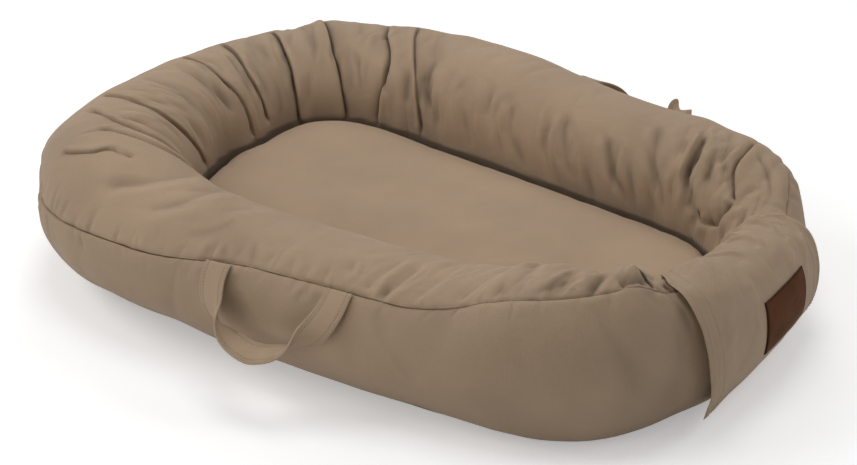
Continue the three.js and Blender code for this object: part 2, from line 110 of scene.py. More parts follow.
# The base and the mattress.
base_inset = 46
grip_inset = 4
base_tuck = {"share": 0.692, "inset": 38, "spread": 0.062}
grip_thickness = 1.2
base_panel_thickness = 4
base_top = grip_thickness + base_panel_thickness + 2 * layer_gap
mattress_clearance = 6
mattress_height = 73
mattress_crown = 9
mattress_edge_radius = 9
mattress_cover_thickness = 1.5
mattress_seam_height = 22
mattress_head_lift = 4
mattress_follow_share = 0.85
# Painted shade in the gap beside the mattress: it starts this far below the mattress's top and is full this
# far below.
painted_gap_shade_depths = (2.5, 6)

# The handles.
strap_width = 30
strap_thickness = 3
strap_span = 142
strap_tilt = 14
near_strap = {
    "place": 13, "side": -1, "reach": 60, "reach_powers": (0.75, 0.75), "pinch": 0.2,
    "drop": 59, "drop_power": 1, "rises": (0, 0), "humps_at": (0.4, 0.4), "lead": 2.7,
}
far_strap = {
    "place": 106, "side": 1, "reach": 58, "reach_powers": (0.5, 1.1), "pinch": 0.15,
    "drop": 60, "drop_power": 1.3, "rises": (0, 22), "humps_at": (0.15, 0.65), "lead": 2.9,
}
strap_hump_spread = 0.3
strap_hump_fade = 0.75

# The flap over the foot, with its strips and its patch.
flap_gape = 9
flap_half_angle = 27
flap_width_angles = [150, 118, 84, 60, 30, -20]
flap_width_shares = [1.08, 1.28, 1.31, 1.22, 1.12, 0.99]
solid_flap_width_shares = [1, 1.1, 1.2, 1.18, 1.1, 0.99]
flap_hinge_inset = 4
flap_lead_bow = 2.8
flap_hinge_height = 88
flap_top_angle = 150
flap_side_angle = -20
flap_hem_height = 24
flap_hem_corner_drop = 5
flap_hem_inset = 12
flap_root_inset = 1.2
flap_root_thickness = 1.2
flap_root_share = 0.8
strip_thickness = 1.1
hook_gap = 0.7
strip_half_angle = 20
strip_top_angle = 6
strip_bottom_angle = -14
patch_width = 98
patch_length = 66
patch_place = 25
patch_top_angle = 31
patch_bottom_angle = -13

# The zip under the base.
zip_place = -120
zip_length = 240
zip_tape_width = 12
zip_tape_thickness = 0.6
zip_tape_gap = 0.6

# The solids are centred over the origin, so the zip's place tells how far they were moved.
tape_low, tape_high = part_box("zip_tape_head")
metre = 1000
frame_shift = np.array([
    tape_low.x * metre - (zip_place - zip_tape_width / 2),
    (tape_low.y + tape_high.y) / 2 * metre,
    0,
])


def in_frame(points):
    """Millimetre points as metres in the frame."""
    return (np.asarray(points, float) + frame_shift) / metre


def smooth_step(values, low, high):
    t = np.clip((np.asarray(values, float) - low) / (high - low), 0, 1)
    return t * t * (3 - 2 * t)


def unit(vectors):
    return vectors / np.maximum(np.linalg.norm(vectors, axis=-1, keepdims=True), 1e-9)


def corner(angle, fullness):
    c, s = np.cos(angle), np.sin(angle)
    size = (np.abs(c) ** fullness + np.abs(s) ** fullness) ** (-1 / fullness)
    return c * size, s * size


def half_width(plan, x):
    foot_start = plan["foot"] - plan["foot_round"]
    head_start = plan["head"] + plan["head_round"]
    run = (x - foot_start) / (head_start - foot_start)
    return plan["foot_half"] + run * (plan["head_half"] - plan["foot_half"])


def plan_point(plan, share):
    """A point of a plan outline; the share runs from the foot by the far side and the head."""
    turned = np.asarray(share, float) % 1.0
    side = np.where(turned > 0.5, -1.0, 1.0)
    along = np.where(turned > 0.5, 1 - turned, turned)
    foot_start = plan["foot"] - plan["foot_round"]
    head_start = plan["head"] + plan["head_round"]
    foot_turn = np.pi / 2 * np.clip(along / foot_arc_share, 0, 1)
    head_turn = np.pi / 2 * np.clip((0.5 - along) / head_arc_share, 0, 1)
    foot_x, foot_y = corner(foot_turn, plan["foot_fullness"])
    head_x, head_y = corner(head_turn, plan["head_fullness"])
    run = (along - foot_arc_share) / (0.5 - head_arc_share - foot_arc_share)
    x = foot_start + run * (head_start - foot_start)
    at_foot = along < foot_arc_share
    at_head = along > 0.5 - head_arc_share
    x = np.where(at_foot, foot_start + plan["foot_round"] * foot_x, x)
    x = np.where(at_head, head_start - plan["head_round"] * head_x, x)
    across = np.where(at_foot, foot_y, np.where(at_head, head_y, 1.0))
    return np.stack([x, side * across * half_width(plan, x)], -1)


def value_round(shares, share):
    """One of a list's values at even places round the roll, smooth between them."""
    values = np.array(shares, float)
    at = (np.asarray(share, float) % 1.0) * len(values)
    start = np.floor(at).astype(int) % len(values)
    ease = smooth_step(at - np.floor(at), 0, 1)
    return values[start] * (1 - ease) + values[(start + 1) % len(values)] * ease


def height_at(share):
    return roll_height * value_round(roll_height_shares, share)


def roll_point(share, degrees, inset=0.0):
    """A point of the roll's section: the angle is 0 outside, 90 on top and 180 inside."""
    share, degrees, inset = np.broadcast_arrays(
        np.asarray(share, float), np.asarray(degrees, float), np.asarray(inset, float)
    )
    outer = plan_point(outer_plan, share)
    across = plan_point(hollow_plan, share) - outer
    width = np.linalg.norm(across, axis=-1)
    across = across / width[..., None]
    c, s = np.cos(np.radians(degrees)), np.sin(np.radians(degrees))
    outside = np.where(s > 0, upper_outer_fullness, lower_outer_fullness)
    inside = np.where(s > 0, upper_inner_fullness, lower_inner_fullness)
    fullness = np.where(c > 0, outside, inside)
    height = height_at(share)
    half_height = (height - base_top) / (2 - flat_bottom_share)
    u = (width / 2 - inset) * np.sign(c) * np.abs(c) ** (2 / fullness)
    v = (half_height - inset) * np.sign(s) * np.abs(s) ** (2 / fullness)
    plan = outer + across * (width / 2 - u)[..., None]
    z = np.maximum(height - half_height + v, base_top + inset)
    return np.concatenate([plan, z[..., None]], -1)


def seam_angle(share):
    """The angle of the seam between side band and top panel."""
    height = height_at(share)
    wanted = seam_height * value_round(seam_height_shares, share)
    limit = seam_limit_share * height
    z = ((1 / wanted) ** seam_blend + (1 / limit) ** seam_blend) ** (-1 / seam_blend)
    half_height = (height - base_top) / (2 - flat_bottom_share)
    up = (z - height + half_height) / half_height
    pull = seam_pull["angle"] * np.exp(-(((share % 1.0 - seam_pull["share"]) / seam_pull["spread"]) ** 2))
    return np.degrees(np.arcsin(up ** (upper_outer_fullness / 2))) + pull


# Meshes from rings of points.


def triangle_volume(points, faces):
    a, b, c = points[faces[:, 0]], points[faces[:, 1]], points[faces[:, 2]]
    volume = np.einsum("ij,ij->i", a, np.cross(b, c)).sum()
    if faces.shape[1] == 4:
        d = points[faces[:, 3]]
        volume += np.einsum("ij,ij->i", a, np.cross(c, d)).sum()
    return volume


def make_piece(name, points, faces, corner_uvs=None, values=None):
    """A smooth mesh object from millimetre points and faces of three or four corners."""
    placed = in_frame(points)
    quads = np.array([f for f in faces if len(f) == 4], int).reshape(-1, 4)
    volume = triangle_volume(placed, quads)
    flipped = volume < 0
    mesh = bpy.data.meshes.new(name)
    ordered = [f[::-1] for f in faces] if flipped else faces
    mesh.from_pydata(placed.tolist(), [], [list(map(int, f)) for f in ordered])
    if corner_uvs is not None:
        if flipped:
            corner_uvs = [uv[::-1] for uv in corner_uvs]
        layer = mesh.uv_layers.new(name="cloth")
        flat = np.concatenate([np.asarray(uv, float).reshape(-1) for uv in corner_uvs])
        layer.data.foreach_set("uv", flat.astype(np.float32))
    for key, data in (values or {}).items():
        attribute = mesh.attributes.new(key, "FLOAT", "POINT")
        attribute.data.foreach_set("value", np.asarray(data, np.float32))
    smooth_shaded(mesh)
    return placed_object(name, mesh)


def placed_object(name, data):
    """A new object in the scene."""
    made = bpy.data.objects.new(name, data)
    bpy.context.scene.collection.objects.link(made)
    return made


def smooth_shaded(mesh):
    mesh.polygons.foreach_set("use_smooth", [True] * len(mesh.polygons))
    mesh.update()


def loft(name, rings, round_closed, fans=False, values=None):
    """A body from an array of equal closed rings; open stacks get quad or fan caps."""
    rings = np.asarray(rings, float)
    count, size = rings.shape[:2]
    steps_round = np.linalg.norm(np.diff(rings, axis=0), axis=-1).mean(1)
    last_step = np.linalg.norm(rings[0] - rings[-1], axis=-1).mean()
    u = np.concatenate([[0], np.cumsum(np.append(steps_round, last_step))]) / metre
    steps_section = np.linalg.norm(np.diff(rings, axis=1), axis=-1).mean(0)
    close_step = np.linalg.norm(rings[:, 0] - rings[:, -1], axis=-1).mean()
    v = np.concatenate([[0], np.cumsum(np.append(steps_section, close_step))]) / metre
    i, j = np.meshgrid(np.arange(count if round_closed else count - 1), np.arange(size), indexing="ij")
    i, j = i.ravel(), j.ravel()
    ni, nj = (i + 1) % count, (j + 1) % size
    quads = np.stack([i * size + j, i * size + nj, ni * size + nj, ni * size + j], 1)
    uvs = np.stack([
        np.stack([u[i], v[j]], 1), np.stack([u[i], v[j + 1]], 1),
        np.stack([u[i + 1], v[j + 1]], 1), np.stack([u[i + 1], v[j]], 1),
    ], 1)
    faces, corner_uvs = quads.tolist(), list(uvs)
    points = rings.reshape(-1, 3)
    if not round_closed:
        for ring, turned in ((0, True), (count - 1, False)):
            base = ring * size
            if fans:
                points = np.vstack([points, rings[ring].mean(0)])
                middle = len(points) - 1
                for k in range(size):
                    a, b = base + k, base + (k + 1) % size
                    face = [middle, b, a] if turned else [middle, a, b]
                    faces.append(face)
                    corner_uvs.append(points[face][:, :2] / metre)
            else:
                for k in range(size // 2 - 1):
                    a, b = base + k, base + k + 1
                    c, d = base + size - 2 - k, base + size - 1 - k
                    face = [a, d, c, b] if turned else [a, b, c, d]
                    faces.append(face)
                    corner_uvs.append(points[face][:, :2] / metre)
    if values and fans:
        values = {k: np.append(d, [0] * (len(points) - count * size)) for k, d in values.items()}
    return make_piece(name, points, faces, corner_uvs, values)


def sheet_piece(name, outside, inside, values=None):
    """A closed sheet between two equal grids of points."""
    rings = np.concatenate([outside, inside[:, ::-1]], 1)
    return loft(name, rings, False, values=values)


def disc_stack(name, rings, values=None):
    """A body from rings stacked up its axis and closed with a fan at each end."""
    return loft(name, rings, False, fans=True, values=values)


# Folds: paths over the roll as pairs of its share round and its angle.

fold_depth = 9
fold_width = 9
tuck_width = 3.2
deepest = 11


def stroke_distance(points, path):
    """Distance of points to a path, how far along it they are, and on which side."""
    steps = np.linalg.norm(np.diff(path, axis=0), axis=1)
    starts = np.concatenate([[0], np.cumsum(steps)])
    near = np.full(len(points), 1e9)
    along = np.zeros(len(points))
    offset = np.zeros((len(points), 3))
    for k in range(len(path) - 1):
        span = path[k + 1] - path[k]
        rel = points - path[k]
        t = np.clip(rel @ span / max(span @ span, 1e-9), 0, 1)
        gap = rel - t[:, None] * span
        size = np.linalg.norm(gap, axis=1)
        closer = size < near
        near = np.where(closer, size, near)
        along = np.where(closer, starts[k] + t * steps[k], along)
        offset[closer] = gap[closer]
    return near, along / starts[-1], offset


def new_field(points, normals):
    """Where folds gather: the plain points, their normals, and depth and sideways shift so far."""
    flat = points.reshape(-1, 3)
    return {
        "points": flat, "normals": normals.reshape(-1, 3),
        "depths": np.zeros(len(flat)), "shifts": np.zeros((len(flat), 3)),
    }


def near_path(field, path, reach):
    """The field's points near a path, with how they lie to it."""
    points = field["points"]
    low, high = path.min(0) - reach, path.max(0) + reach
    inside = np.nonzero(np.all((points > low) & (points < high), axis=1))[0]
    near, along, offset = stroke_distance(points[inside], path)
    run = path[-1] - path[0]
    cross = np.cross(field["normals"][inside], run[None, :])
    side = np.sign(np.einsum("ij,ij->i", cross, offset))
    return inside, near, along, offset, side


def wrinkle(field, path, depth, width, lean=0.0, fade_in=0.35, fade_out=0.4):
    """Adds a soft wrinkle: a valley with a low lip on both sides."""
    inside, near, along, _, side = near_path(field, path, 5 * width)
    wide = width * (1 + lean * side)
    fade = smooth_step(along, 0, fade_in) * (1 - smooth_step(along, 1 - fade_out, 1))
    valley = np.exp(-((near / wide) ** 1.3))
    lip = np.exp(-(((near - 2.3 * wide) / (1.2 * wide)) ** 2))
    field["depths"][inside] += depth * fade * (valley - 0.34 * lip)


def tuck(field, path, depth, width, lap, fade_in=0.08, fade_out=0.1):
    """Adds a deep fold: a narrow slot in a broad hollow, with the cloth of one side lapped over it."""
    inside, near, along, offset, side = near_path(field, path, 9 * width)
    lapped = side * np.sign(lap) > 0
    fade = smooth_step(along, 0, fade_in) * (1 - smooth_step(along, 1 - fade_out, 1))
    slot = np.where(lapped, np.exp(-((near / (0.5 * width)) ** 1.7)), np.exp(-((near / width) ** 1.15)))
    hollow = np.exp(-((near / (3.6 * width)) ** 2))
    rise = np.where(lapped, 0.3 * np.exp(-(((near - 2 * width) / (1.6 * width)) ** 2)), 0)
    field["depths"][inside] += depth * fade * (0.78 * slot + 0.22 * hollow - rise)
    pull = 1.5 * abs(lap) * width * (1 - np.exp(-((near / (0.8 * width)) ** 2)))
    pull = np.where(lapped, pull * np.exp(-((near / (3 * width)) ** 2)), 0) * fade
    field["shifts"][inside] -= unit(offset) * pull[:, None]


def fine_path(shares_and_angles, steps=14):
    """A fold's path over the roll, drawn smoothly through its stated places."""
    stated = np.array(shares_and_angles, float)
    at = np.linspace(0, len(stated) - 1, steps)
    k = np.clip(np.floor(at).astype(int), 0, len(stated) - 2)
    t = (at - k)[:, None]
    before = stated[np.maximum(k - 1, 0)]
    start, end = stated[k], stated[k + 1]
    after = stated[np.minimum(k + 2, len(stated) - 1)]
    drawn = 0.5 * (
        2 * start + (end - before) * t + (2 * before - 5 * start + 4 * end - after) * t ** 2
        + (3 * start - before - 3 * end + after) * t ** 3
    )
    return roll_point(drawn[:, 0], drawn[:, 1])


# The large folds of the top panel: depth, width and lap as shares of the usual ones, and the path.
panel_folds = [
    (1.05, 1.0, 1.0, [(0.417, 58), (0.415, 84), (0.415, 106), (0.4131, 130), (0.4125, 152), (0.4088, 192)]),
    (1.0, 1.0, -0.9, [(0.387, 56), (0.3844, 76), (0.3794, 117), (0.3738, 145), (0.3688, 190)]),
    (0.95, 0.9, 0.9, [(0.345, 60), (0.3431, 90), (0.3356, 115), (0.3325, 135), (0.3369, 156),
     (0.3412, 190)]),
    (0.7, 0.9, -0.8, [(0.328, 62), (0.325, 86), (0.3163, 116), (0.3038, 149), (0.295, 188)]),
    (0.8, 1.0, 0.8, [(0.452, 64), (0.4525, 92), (0.455, 116), (0.4544, 133), (0.4475, 176)]),
    (0.66, 1.1, 0.7, [(0.484, 62), (0.4844, 85), (0.4856, 117), (0.48, 142), (0.4713, 184)]),
    (0.66, 1.1, 0.7, [(0.552, 60), (0.5587, 79), (0.5687, 106), (0.5725, 133), (0.5669, 159),
     (0.5525, 186)]),
    (0.95, 1.0, 0.9, [(0.578, 72), (0.5906, 85), (0.6144, 106), (0.6269, 125), (0.634, 146), (0.632, 178)]),
    (0.6, 0.9, 0.6, [(0.614, 84), (0.632, 104), (0.646, 126), (0.652, 156)]),
    (0.6, 0.9, 0.7, [(0.622, 54), (0.6281, 59), (0.6375, 73), (0.6412, 85), (0.6544, 92)]),
    (1.0, 0.9, 0.9, [(0.9205, 116), (0.9219, 99), (0.9244, 91), (0.9263, 84), (0.927, 78)]),
    (0.6, 0.7, 0.6, [(0.9345, 88), (0.9363, 83), (0.9387, 72)]),
    (0.9, 1.1, 0.9, [(0.112, 66), (0.1062, 89), (0.1013, 106), (0.0925, 115), (0.0856, 121)]),
    (0.8, 1.2, -0.7, [(0.1138, 160), (0.105, 167), (0.0875, 152), (0.085, 134), (0.0863, 123)]),
]
# The soft folds of the panel: depth and width as shares of the usual ones, and the path.
panel_soft_folds = [
    (0.7, 0.55, [(0.8975, 64), (0.8988, 71), (0.9, 84), (0.9019, 92), (0.9044, 103)]),
    (0.8, 0.5, [(0.9105, 78), (0.9131, 81), (0.9156, 82), (0.92, 84), (0.9245, 81)]),
    (0.85, 0.4, [(0.1368, 92), (0.1356, 101), (0.135, 121), (0.1338, 140), (0.1269, 158)]),
    (0.4, 0.4, [(0.104, 75), (0.1006, 78), (0.0912, 78), (0.08, 80), (0.076, 82)]),
    (0.4, 0.5, [(0.1325, 96), (0.1318, 112), (0.1322, 130), (0.13, 148)]),
    (0.4, 0.7, [(0.133, 140), (0.128, 154), (0.117, 168), (0.112, 182)]),
    (0.4, 0.4, [(0.3345, 130), (0.3335, 144), (0.3315, 160)]),
    (0.3, 1.0, [(0.5, 74), (0.505, 100), (0.5035, 128), (0.496, 160)]),
    (0.45, 0.9, [(0.578, 66), (0.592, 92), (0.604, 118), (0.607, 146), (0.6, 176)]),
    (0.26, 1.0, [(0.525, 70), (0.534, 104), (0.536, 140), (0.526, 172)]),
    (0.2, 0.8, [(0.462, 96), (0.464, 124), (0.461, 150)]),
    (0.18, 0.9, [(0.433, 66), (0.4335, 96), (0.432, 128)]),
    (0.3, 0.7, [(0.398, 60), (0.397, 88), (0.3945, 112), (0.3925, 126)]),
    (0.24, 0.7, [(0.362, 58), (0.3605, 84), (0.358, 108)]),
    (0.18, 1.0, [(0.31, 64), (0.305, 96), (0.292, 134)]),
    (0.4, 1.2, [(0.66, 60), (0.672, 84), (0.676, 110), (0.668, 140)]),
    (0.3, 1.2, [(0.686, 58), (0.698, 80), (0.7, 106), (0.692, 138)]),
    (0.2, 1.2, [(0.712, 52), (0.724, 70), (0.73, 92)]),
    (0.16, 1.2, [(0.745, 50), (0.756, 66), (0.76, 88)]),
    (0.42, 0.7, [(0.798, 50), (0.8, 63), (0.8019, 81), (0.8031, 99)]),
    (0.46, 0.7, [(0.805, 48), (0.8075, 57), (0.8106, 72), (0.8106, 93)]),
    (0.3, 0.7, [(0.819, 50), (0.8225, 68), (0.824, 90), (0.822, 112)]),
    (0.36, 0.9, [(0.838, 52), (0.842, 76), (0.847, 98), (0.848, 124)]),
    (0.32, 0.9, [(0.858, 54), (0.862, 80), (0.868, 106), (0.871, 134)]),
    (0.3, 0.8, [(0.882, 58), (0.885, 84), (0.887, 108)]),
    (0.4, 0.8, [(0.302, 128), (0.295, 149), (0.2825, 161), (0.275, 182)]),
    (0.24, 0.8, [(0.262, 130), (0.257, 152), (0.252, 178)]),
    (0.34, 0.8, [(0.2345, 130), (0.2319, 158), (0.2263, 174), (0.2238, 188)]),
    (0.26, 0.8, [(0.21, 124), (0.206, 150), (0.2, 180)]),
    (0.42, 0.7, [(0.188, 128), (0.1831, 158), (0.1775, 171), (0.1731, 186)]),
    (0.5, 0.7, [(0.169, 100), (0.1663, 132), (0.1631, 148), (0.1544, 162), (0.1431, 184)]),
    (0.3, 0.7, [(0.152, 88), (0.149, 116), (0.147, 140)]),
    (0.36, 0.8, [(0.125, 84), (0.121, 106), (0.113, 126), (0.104, 142)]),
    (0.3, 0.7, [(0.128, 68), (0.118, 92), (0.108, 112), (0.098, 128)]),
    (0.36, 0.8, [(0.12, 128), (0.11, 144), (0.098, 156), (0.09, 172)]),
    (0.2, 0.7, [(0.098, 60), (0.092, 76), (0.086, 92)]),
]

# Bands of small wrinkles: how many, where they start, how far they run and lean, and their depth.
panel_wrinkles = [
    {"count": 84, "shares": (0.13, 0.33), "angles": (112, 150), "run": (28, 62), "lean": -0.004,
     "sway": 0.004, "depths": (0.06, 0.24), "widths": (0.3, 0.7)},
    {"count": 96, "shares": (0.33, 0.62), "angles": (66, 138), "run": (22, 56), "lean": 0.0,
     "sway": 0.005, "depths": (0.06, 0.26), "widths": (0.26, 0.7)},
    {"count": 26, "shares": (0.13, 0.33), "angles": (58, 92), "run": (18, 42), "lean": 0.0,
     "sway": 0.006, "depths": (0.03, 0.12), "widths": (0.4, 0.8)},
    {"count": 34, "shares": (0.64, 0.8), "angles": (52, 112), "run": (20, 44), "lean": 0.016,
     "sway": 0.006, "depths": (0.04, 0.13), "widths": (0.5, 1.0)},
    {"count": 60, "shares": (0.79, 0.93), "angles": (56, 104), "run": (16, 40), "lean": 0.005,
     "sway": 0.004, "depths": (0.06, 0.24), "widths": (0.28, 0.6)},
    {"count": 48, "shares": (0.06, 0.15), "angles": (76, 146), "run": (20, 50), "lean": -0.008,
     "sway": 0.006, "depths": (0.08, 0.32), "widths": (0.26, 0.55)},
    {"count": 40, "shares": (0.62, 1.0), "angles": (130, 160), "run": (22, 44), "lean": 0.0,
     "sway": 0.005, "depths": (0.05, 0.18), "widths": (0.5, 0.9)},
]
gathers_count = 190
gather_run = (9, 30)
gather_depths = (0.05, 0.24)
gather_widths = (0.25, 0.5)
band_gathers_count = 120
band_folds = [
    (0.2, 1.6, [(0.716, 36), (0.7135, 14), (0.712, -12), (0.714, -40)]),
    (0.2, 1.5, [(0.741, 40), (0.746, 16), (0.752, -8)]),
    (0.22, 1.5, [(0.782, 42), (0.777, 18), (0.77, -6)]),
    (0.2, 1.8, [(0.806, 44), (0.812, 20), (0.824, -4), (0.836, -30)]),
    (0.26, 1.8, [(0.9, 66), (0.906, 40), (0.916, 12), (0.924, -20)]),
    (0.42, 1.1, [(0.921, 80), (0.929, 60), (0.936, 36), (0.941, 8)]),
    (0.4, 0.9, [(0.931, 84), (0.9365, 62), (0.942, 40), (0.946, 16)]),
    (0.13, 1.8, [(0.87, 50), (0.874, 22), (0.876, -6)]),
    (0.18, 1.6, [(0.664, 20), (0.662, -6), (0.664, -36)]),
    (0.16, 1.6, [(0.6, 36), (0.604, 8), (0.606, -24)]),
]
closing_seam_share = 0.6365
seam_dip = 2.4
seam_dip_width = 3
broad_wave = 2.4
broad_patches = (23, 5)
middle_wave = 1.2
middle_patches = (61, 9)
pucker_patches = (230, 2)
pucker_share = 0.45
panel_free_angles = (215, 262)
band_free_angle = 30
under_flap_shares = (0.07, 0.09)
# Swellings and presses: share round, angle, rise, and how far they spread over both.
roll_bumps = [
    (0.9165, 100, 15, 0.011, 34),
    (0.9455, 102, -12, 0.0125, 34),
    (0.943, -22, -8, 0.014, 46),
    (0.0965, 44, 13, 0.0235, 42),
    (0.69, -50, -14.5, 0.055, 34),
    (0.768, -50, -2.5, 0.02, 30),
    (0.878, -60, 7.4, 0.034, 28),
    (0.608, 10, -4, 0.014, 18),
    (0.59, 34, 3, 0.014, 22),
    (0.658, -40, -3.5, 0.012, 26),
    (0.094, 137, 5, 0.012, 18),
    (0.083, 158, -5, 0.012, 16),
    (0.515, 182, -8, 0.04, 26),
    (0.4, 182, -5.5, 0.09, 26),
    (0.22, 182, -5, 0.1, 26),
    (0.456, 72, 2.2, 0.012, 30),
    (0.4045, 78, -5.5, 0.009, 34),
    (0.383, 80, 4.5, 0.011, 30),
    (0.348, 72, -2.6, 0.013, 30),
    (0.314, 72, -2.4, 0.013, 30),
    (0.15, 62, 2.4, 0.014, 30),
]
sole_sag = 4
lowest_cloth = 0.6
sole_sag_height = 46
sole_free_inset = (22, 42)
most_bulge = 4.5
under_flap_bulge = 0.9


def patchy(u, v, count_u, count_v, rng):
    """Smooth noise from -1 to 1 over a field that closes on itself along u."""
    knots = rng.uniform(-1, 1, (count_u, count_v + 2))
    x = (u % 1.0) * count_u
    y = np.clip(v, 0, 1) * count_v
    i, j = np.floor(x).astype(int), np.floor(y).astype(int)
    fx, fy = smooth_step(x - i, 0, 1), smooth_step(y - j, 0, 1)
    a, b = knots[i % count_u, j], knots[(i + 1) % count_u, j]
    c, d = knots[i % count_u, j + 1], knots[(i + 1) % count_u, j + 1]
    return (a * (1 - fx) + b * fx) * (1 - fy) + (c * (1 - fx) + d * fx) * fy


def grid_normals(points, round_closed=True):
    """Outward normals of a grid whose first axis goes round and second over the section."""
    if round_closed:
        along = np.roll(points, -1, 0) - np.roll(points, 1, 0)
    else:
        along = np.gradient(points, axis=0)
    over = np.gradient(points, axis=1)
    return unit(np.cross(over, along))


def outward(normals, points, inner):
    turned = np.sign(np.einsum("ijk,ijk->ij", normals, points - inner))[..., None]
    return normals * np.where(turned == 0, 1, turned)


def wrinkle_band(field, band, rng):
    """Strokes of small wrinkles scattered over one part of the panel."""
    for _ in range(band["count"]):
        share = rng.uniform(*band["shares"])
        start = rng.uniform(*band["angles"])
        run = rng.uniform(*band["run"])
        drift = band["lean"] * run / 30 + rng.normal(0, band["sway"])
        bow = rng.normal(0, band["sway"] / 2)
        t = np.linspace(0, 1, 5)
        path = roll_point(share + drift * t + bow * np.sin(np.pi * t), start + run * t)
        depth = fold_depth * rng.uniform(*band["depths"])
        width = fold_width * rng.uniform(*band["widths"])
        wrinkle(field, path, depth, width, rng.uniform(-0.3, 0.3))


def gathers(field, count, run_share, rng):
    """Short puckers that run off the seam all the way round."""
    for _ in range(count):
        share = rng.uniform(0, 1)
        run = rng.uniform(*gather_run) * run_share
        t = np.linspace(0, 1, 4)
        path = roll_point(share + rng.normal(0, 0.003) * t, float(seam_angle(share)) + run * t)
        depth = fold_depth * rng.uniform(*gather_depths)
        width = fold_width * rng.uniform(*gather_widths)
        wrinkle(field, path, depth, width, rng.uniform(-0.3, 0.3), 0.05, 0.6)


def dressed_grid(shares, angles, rng, panel):
    """The cover's outer points over a grid, and how deep its folds are."""
    points = roll_point(shares[:, None], angles)
    normals = outward(grid_normals(points), points, roll_point(shares[:, None], angles, 20))
    field = new_field(points, normals)
    share_grid = np.broadcast_to(shares[:, None], angles.shape)
    level = (angles - bottom_seam_angle) / 360
    field["depths"] -= broad_wave * patchy(share_grid, level, *broad_patches, rng).ravel()
    field["depths"] -= middle_wave * patchy(share_grid, level, *middle_patches, rng).ravel()
    if panel:
        for depth, width, lap, path in panel_folds:
            tuck(field, fine_path(path), fold_depth * depth, tuck_width * width, lap)
        for depth, width, path in panel_soft_folds:
            wrinkle(field, fine_path(path), fold_depth * depth, fold_width * width, 0.25, 0.15, 0.3)
        for band in panel_wrinkles:
            wrinkle_band(field, band, rng)
        gathers(field, gathers_count, 1, rng)
    else:
        for depth, width, path in band_folds:
            wrinkle(field, fine_path(path), fold_depth * depth, fold_width * width, 0.2, 0.12, 0.5)
        gathers(field, band_gathers_count, -0.8, rng)
        closing = roll_point(closing_seam_share, np.linspace(12, -70, 12))
        wrinkle(field, closing, seam_dip * 0.5, seam_dip_width * 0.6, 0, 0.02, 0.1)
    depths = field["depths"].reshape(angles.shape)
    from_seam = np.linalg.norm(points - roll_point(shares, seam_angle(shares))[:, None], axis=-1)
    depths = depths * smooth_step(from_seam, -14, 14)
    pucker = 1 + pucker_share * patchy(share_grid, level * 0, *pucker_patches, rng)
    depths += seam_dip * pucker * np.exp(-((from_seam / seam_dip_width) ** 1.4))
    if panel:
        free = 1 - smooth_step(angles, *panel_free_angles)
    else:
        free = smooth_step(angles, bottom_seam_angle, bottom_seam_angle + band_free_angle)
    under_flap = smooth_step(np.minimum(share_grid, 1 - share_grid), *under_flap_shares)
    least_bulge = under_flap_bulge if panel else layer_gap * 0.3
    bulge = least_bulge + (most_bulge - least_bulge) * under_flap
    depths = np.clip(depths, -bulge, deepest) * free
    shifts = field["shifts"].reshape(points.shape) * (free * smooth_step(from_seam, 2, 16))[..., None]
    bump_free = free if panel else smooth_step(angles, bottom_seam_angle, bottom_seam_angle + 9)
    lifted = bump_at(share_grid, angles) * bump_free - depths
    dressed = points + normals * lifted[..., None] + shifts
    inset = np.linalg.norm(points[..., :2] - plan_point(outer_plan, share_grid), axis=-1)
    hangs = under_flap * (1 - smooth_step(inset, *sole_free_inset))
    dressed[..., 2] -= sole_sag * hangs * (1 - smooth_step(points[..., 2], base_top, sole_sag_height))
    inset = np.linalg.norm(dressed[..., :2] - plan_point(outer_plan, share_grid), axis=-1)
    over_base = smooth_step(inset, base_inset - 10, base_inset - 4)
    lowest = lowest_cloth + (base_top - lowest_cloth) * over_base
    dressed[..., 2] = np.maximum(dressed[..., 2], lowest)
    return dressed, depths


def bump_at(share, angle):
    """How far the filled roll swells or is pressed in at a place."""
    swell = np.zeros(np.broadcast(share, angle).shape)
    for bump_share, bump_angle, rise, share_spread, angle_spread in roll_bumps:
        away = (np.asarray(share) - bump_share + 0.5) % 1.0 - 0.5
        beside = (away / share_spread) ** 2
        over = ((angle - bump_angle) / angle_spread) ** 2
        swell = swell + rise * np.exp(-beside - over)
    return swell


round_steps = 1440
panel_rows = 112
band_rows = 44
lining_rows = 18
lining_inset = 14


def cover_piece(name, panel):
    rng = np.random.default_rng(11 if panel else 23)
    shares = np.arange(round_steps) / round_steps
    seam = seam_angle(shares)[:, None]
    turn = math.degrees(4 * layer_gap / foot_roll_width)
    if panel:
        t = np.linspace(0, 1, panel_rows)[None, :] ** 1.25
        angles = seam + (360 + bottom_seam_angle - turn - seam) * t
    else:
        t = 1 - (1 - np.linspace(0, 1, band_rows)[None, :]) ** 1.3
        angles = bottom_seam_angle + (seam - turn - bottom_seam_angle) * t
    outer, depths = dressed_grid(shares, angles, rng, panel)
    lining = angles[:, :1] + (angles[:, -1:] - angles[:, :1]) * np.linspace(1, 0, lining_rows)[None, :]
    inner = roll_point(shares[:, None], lining, lining_inset - bump_at(shares[:, None], lining))
    rings = np.concatenate([outer, inner], 1)
    if panel:
        # Cloth down in the gap beside the mattress gets painted shade: its fold value is raised as a deep
        # fold's is.
        below = mattress_top + mattress_rise(outer[..., 0]) - outer[..., 2]
        gap_shade_share = smooth_step(below, *painted_gap_shade_depths) * smooth_step(angles, 140, 165)
        depths = np.maximum(depths, fold_depth * gap_shade_share)
    # The fold attribute: fold depth, also along the seam, which the cloth shader turns into painted shade in
    # valleys and a painted highlight on ridges.
    fold = np.concatenate([depths, np.zeros(inner.shape[:2])], 1).ravel() / fold_depth
    return loft(name, rings, True, values={"fold": fold})


# The mattress.


wall_angle = 182.0
wall_rows = 7
edge_rows = 9


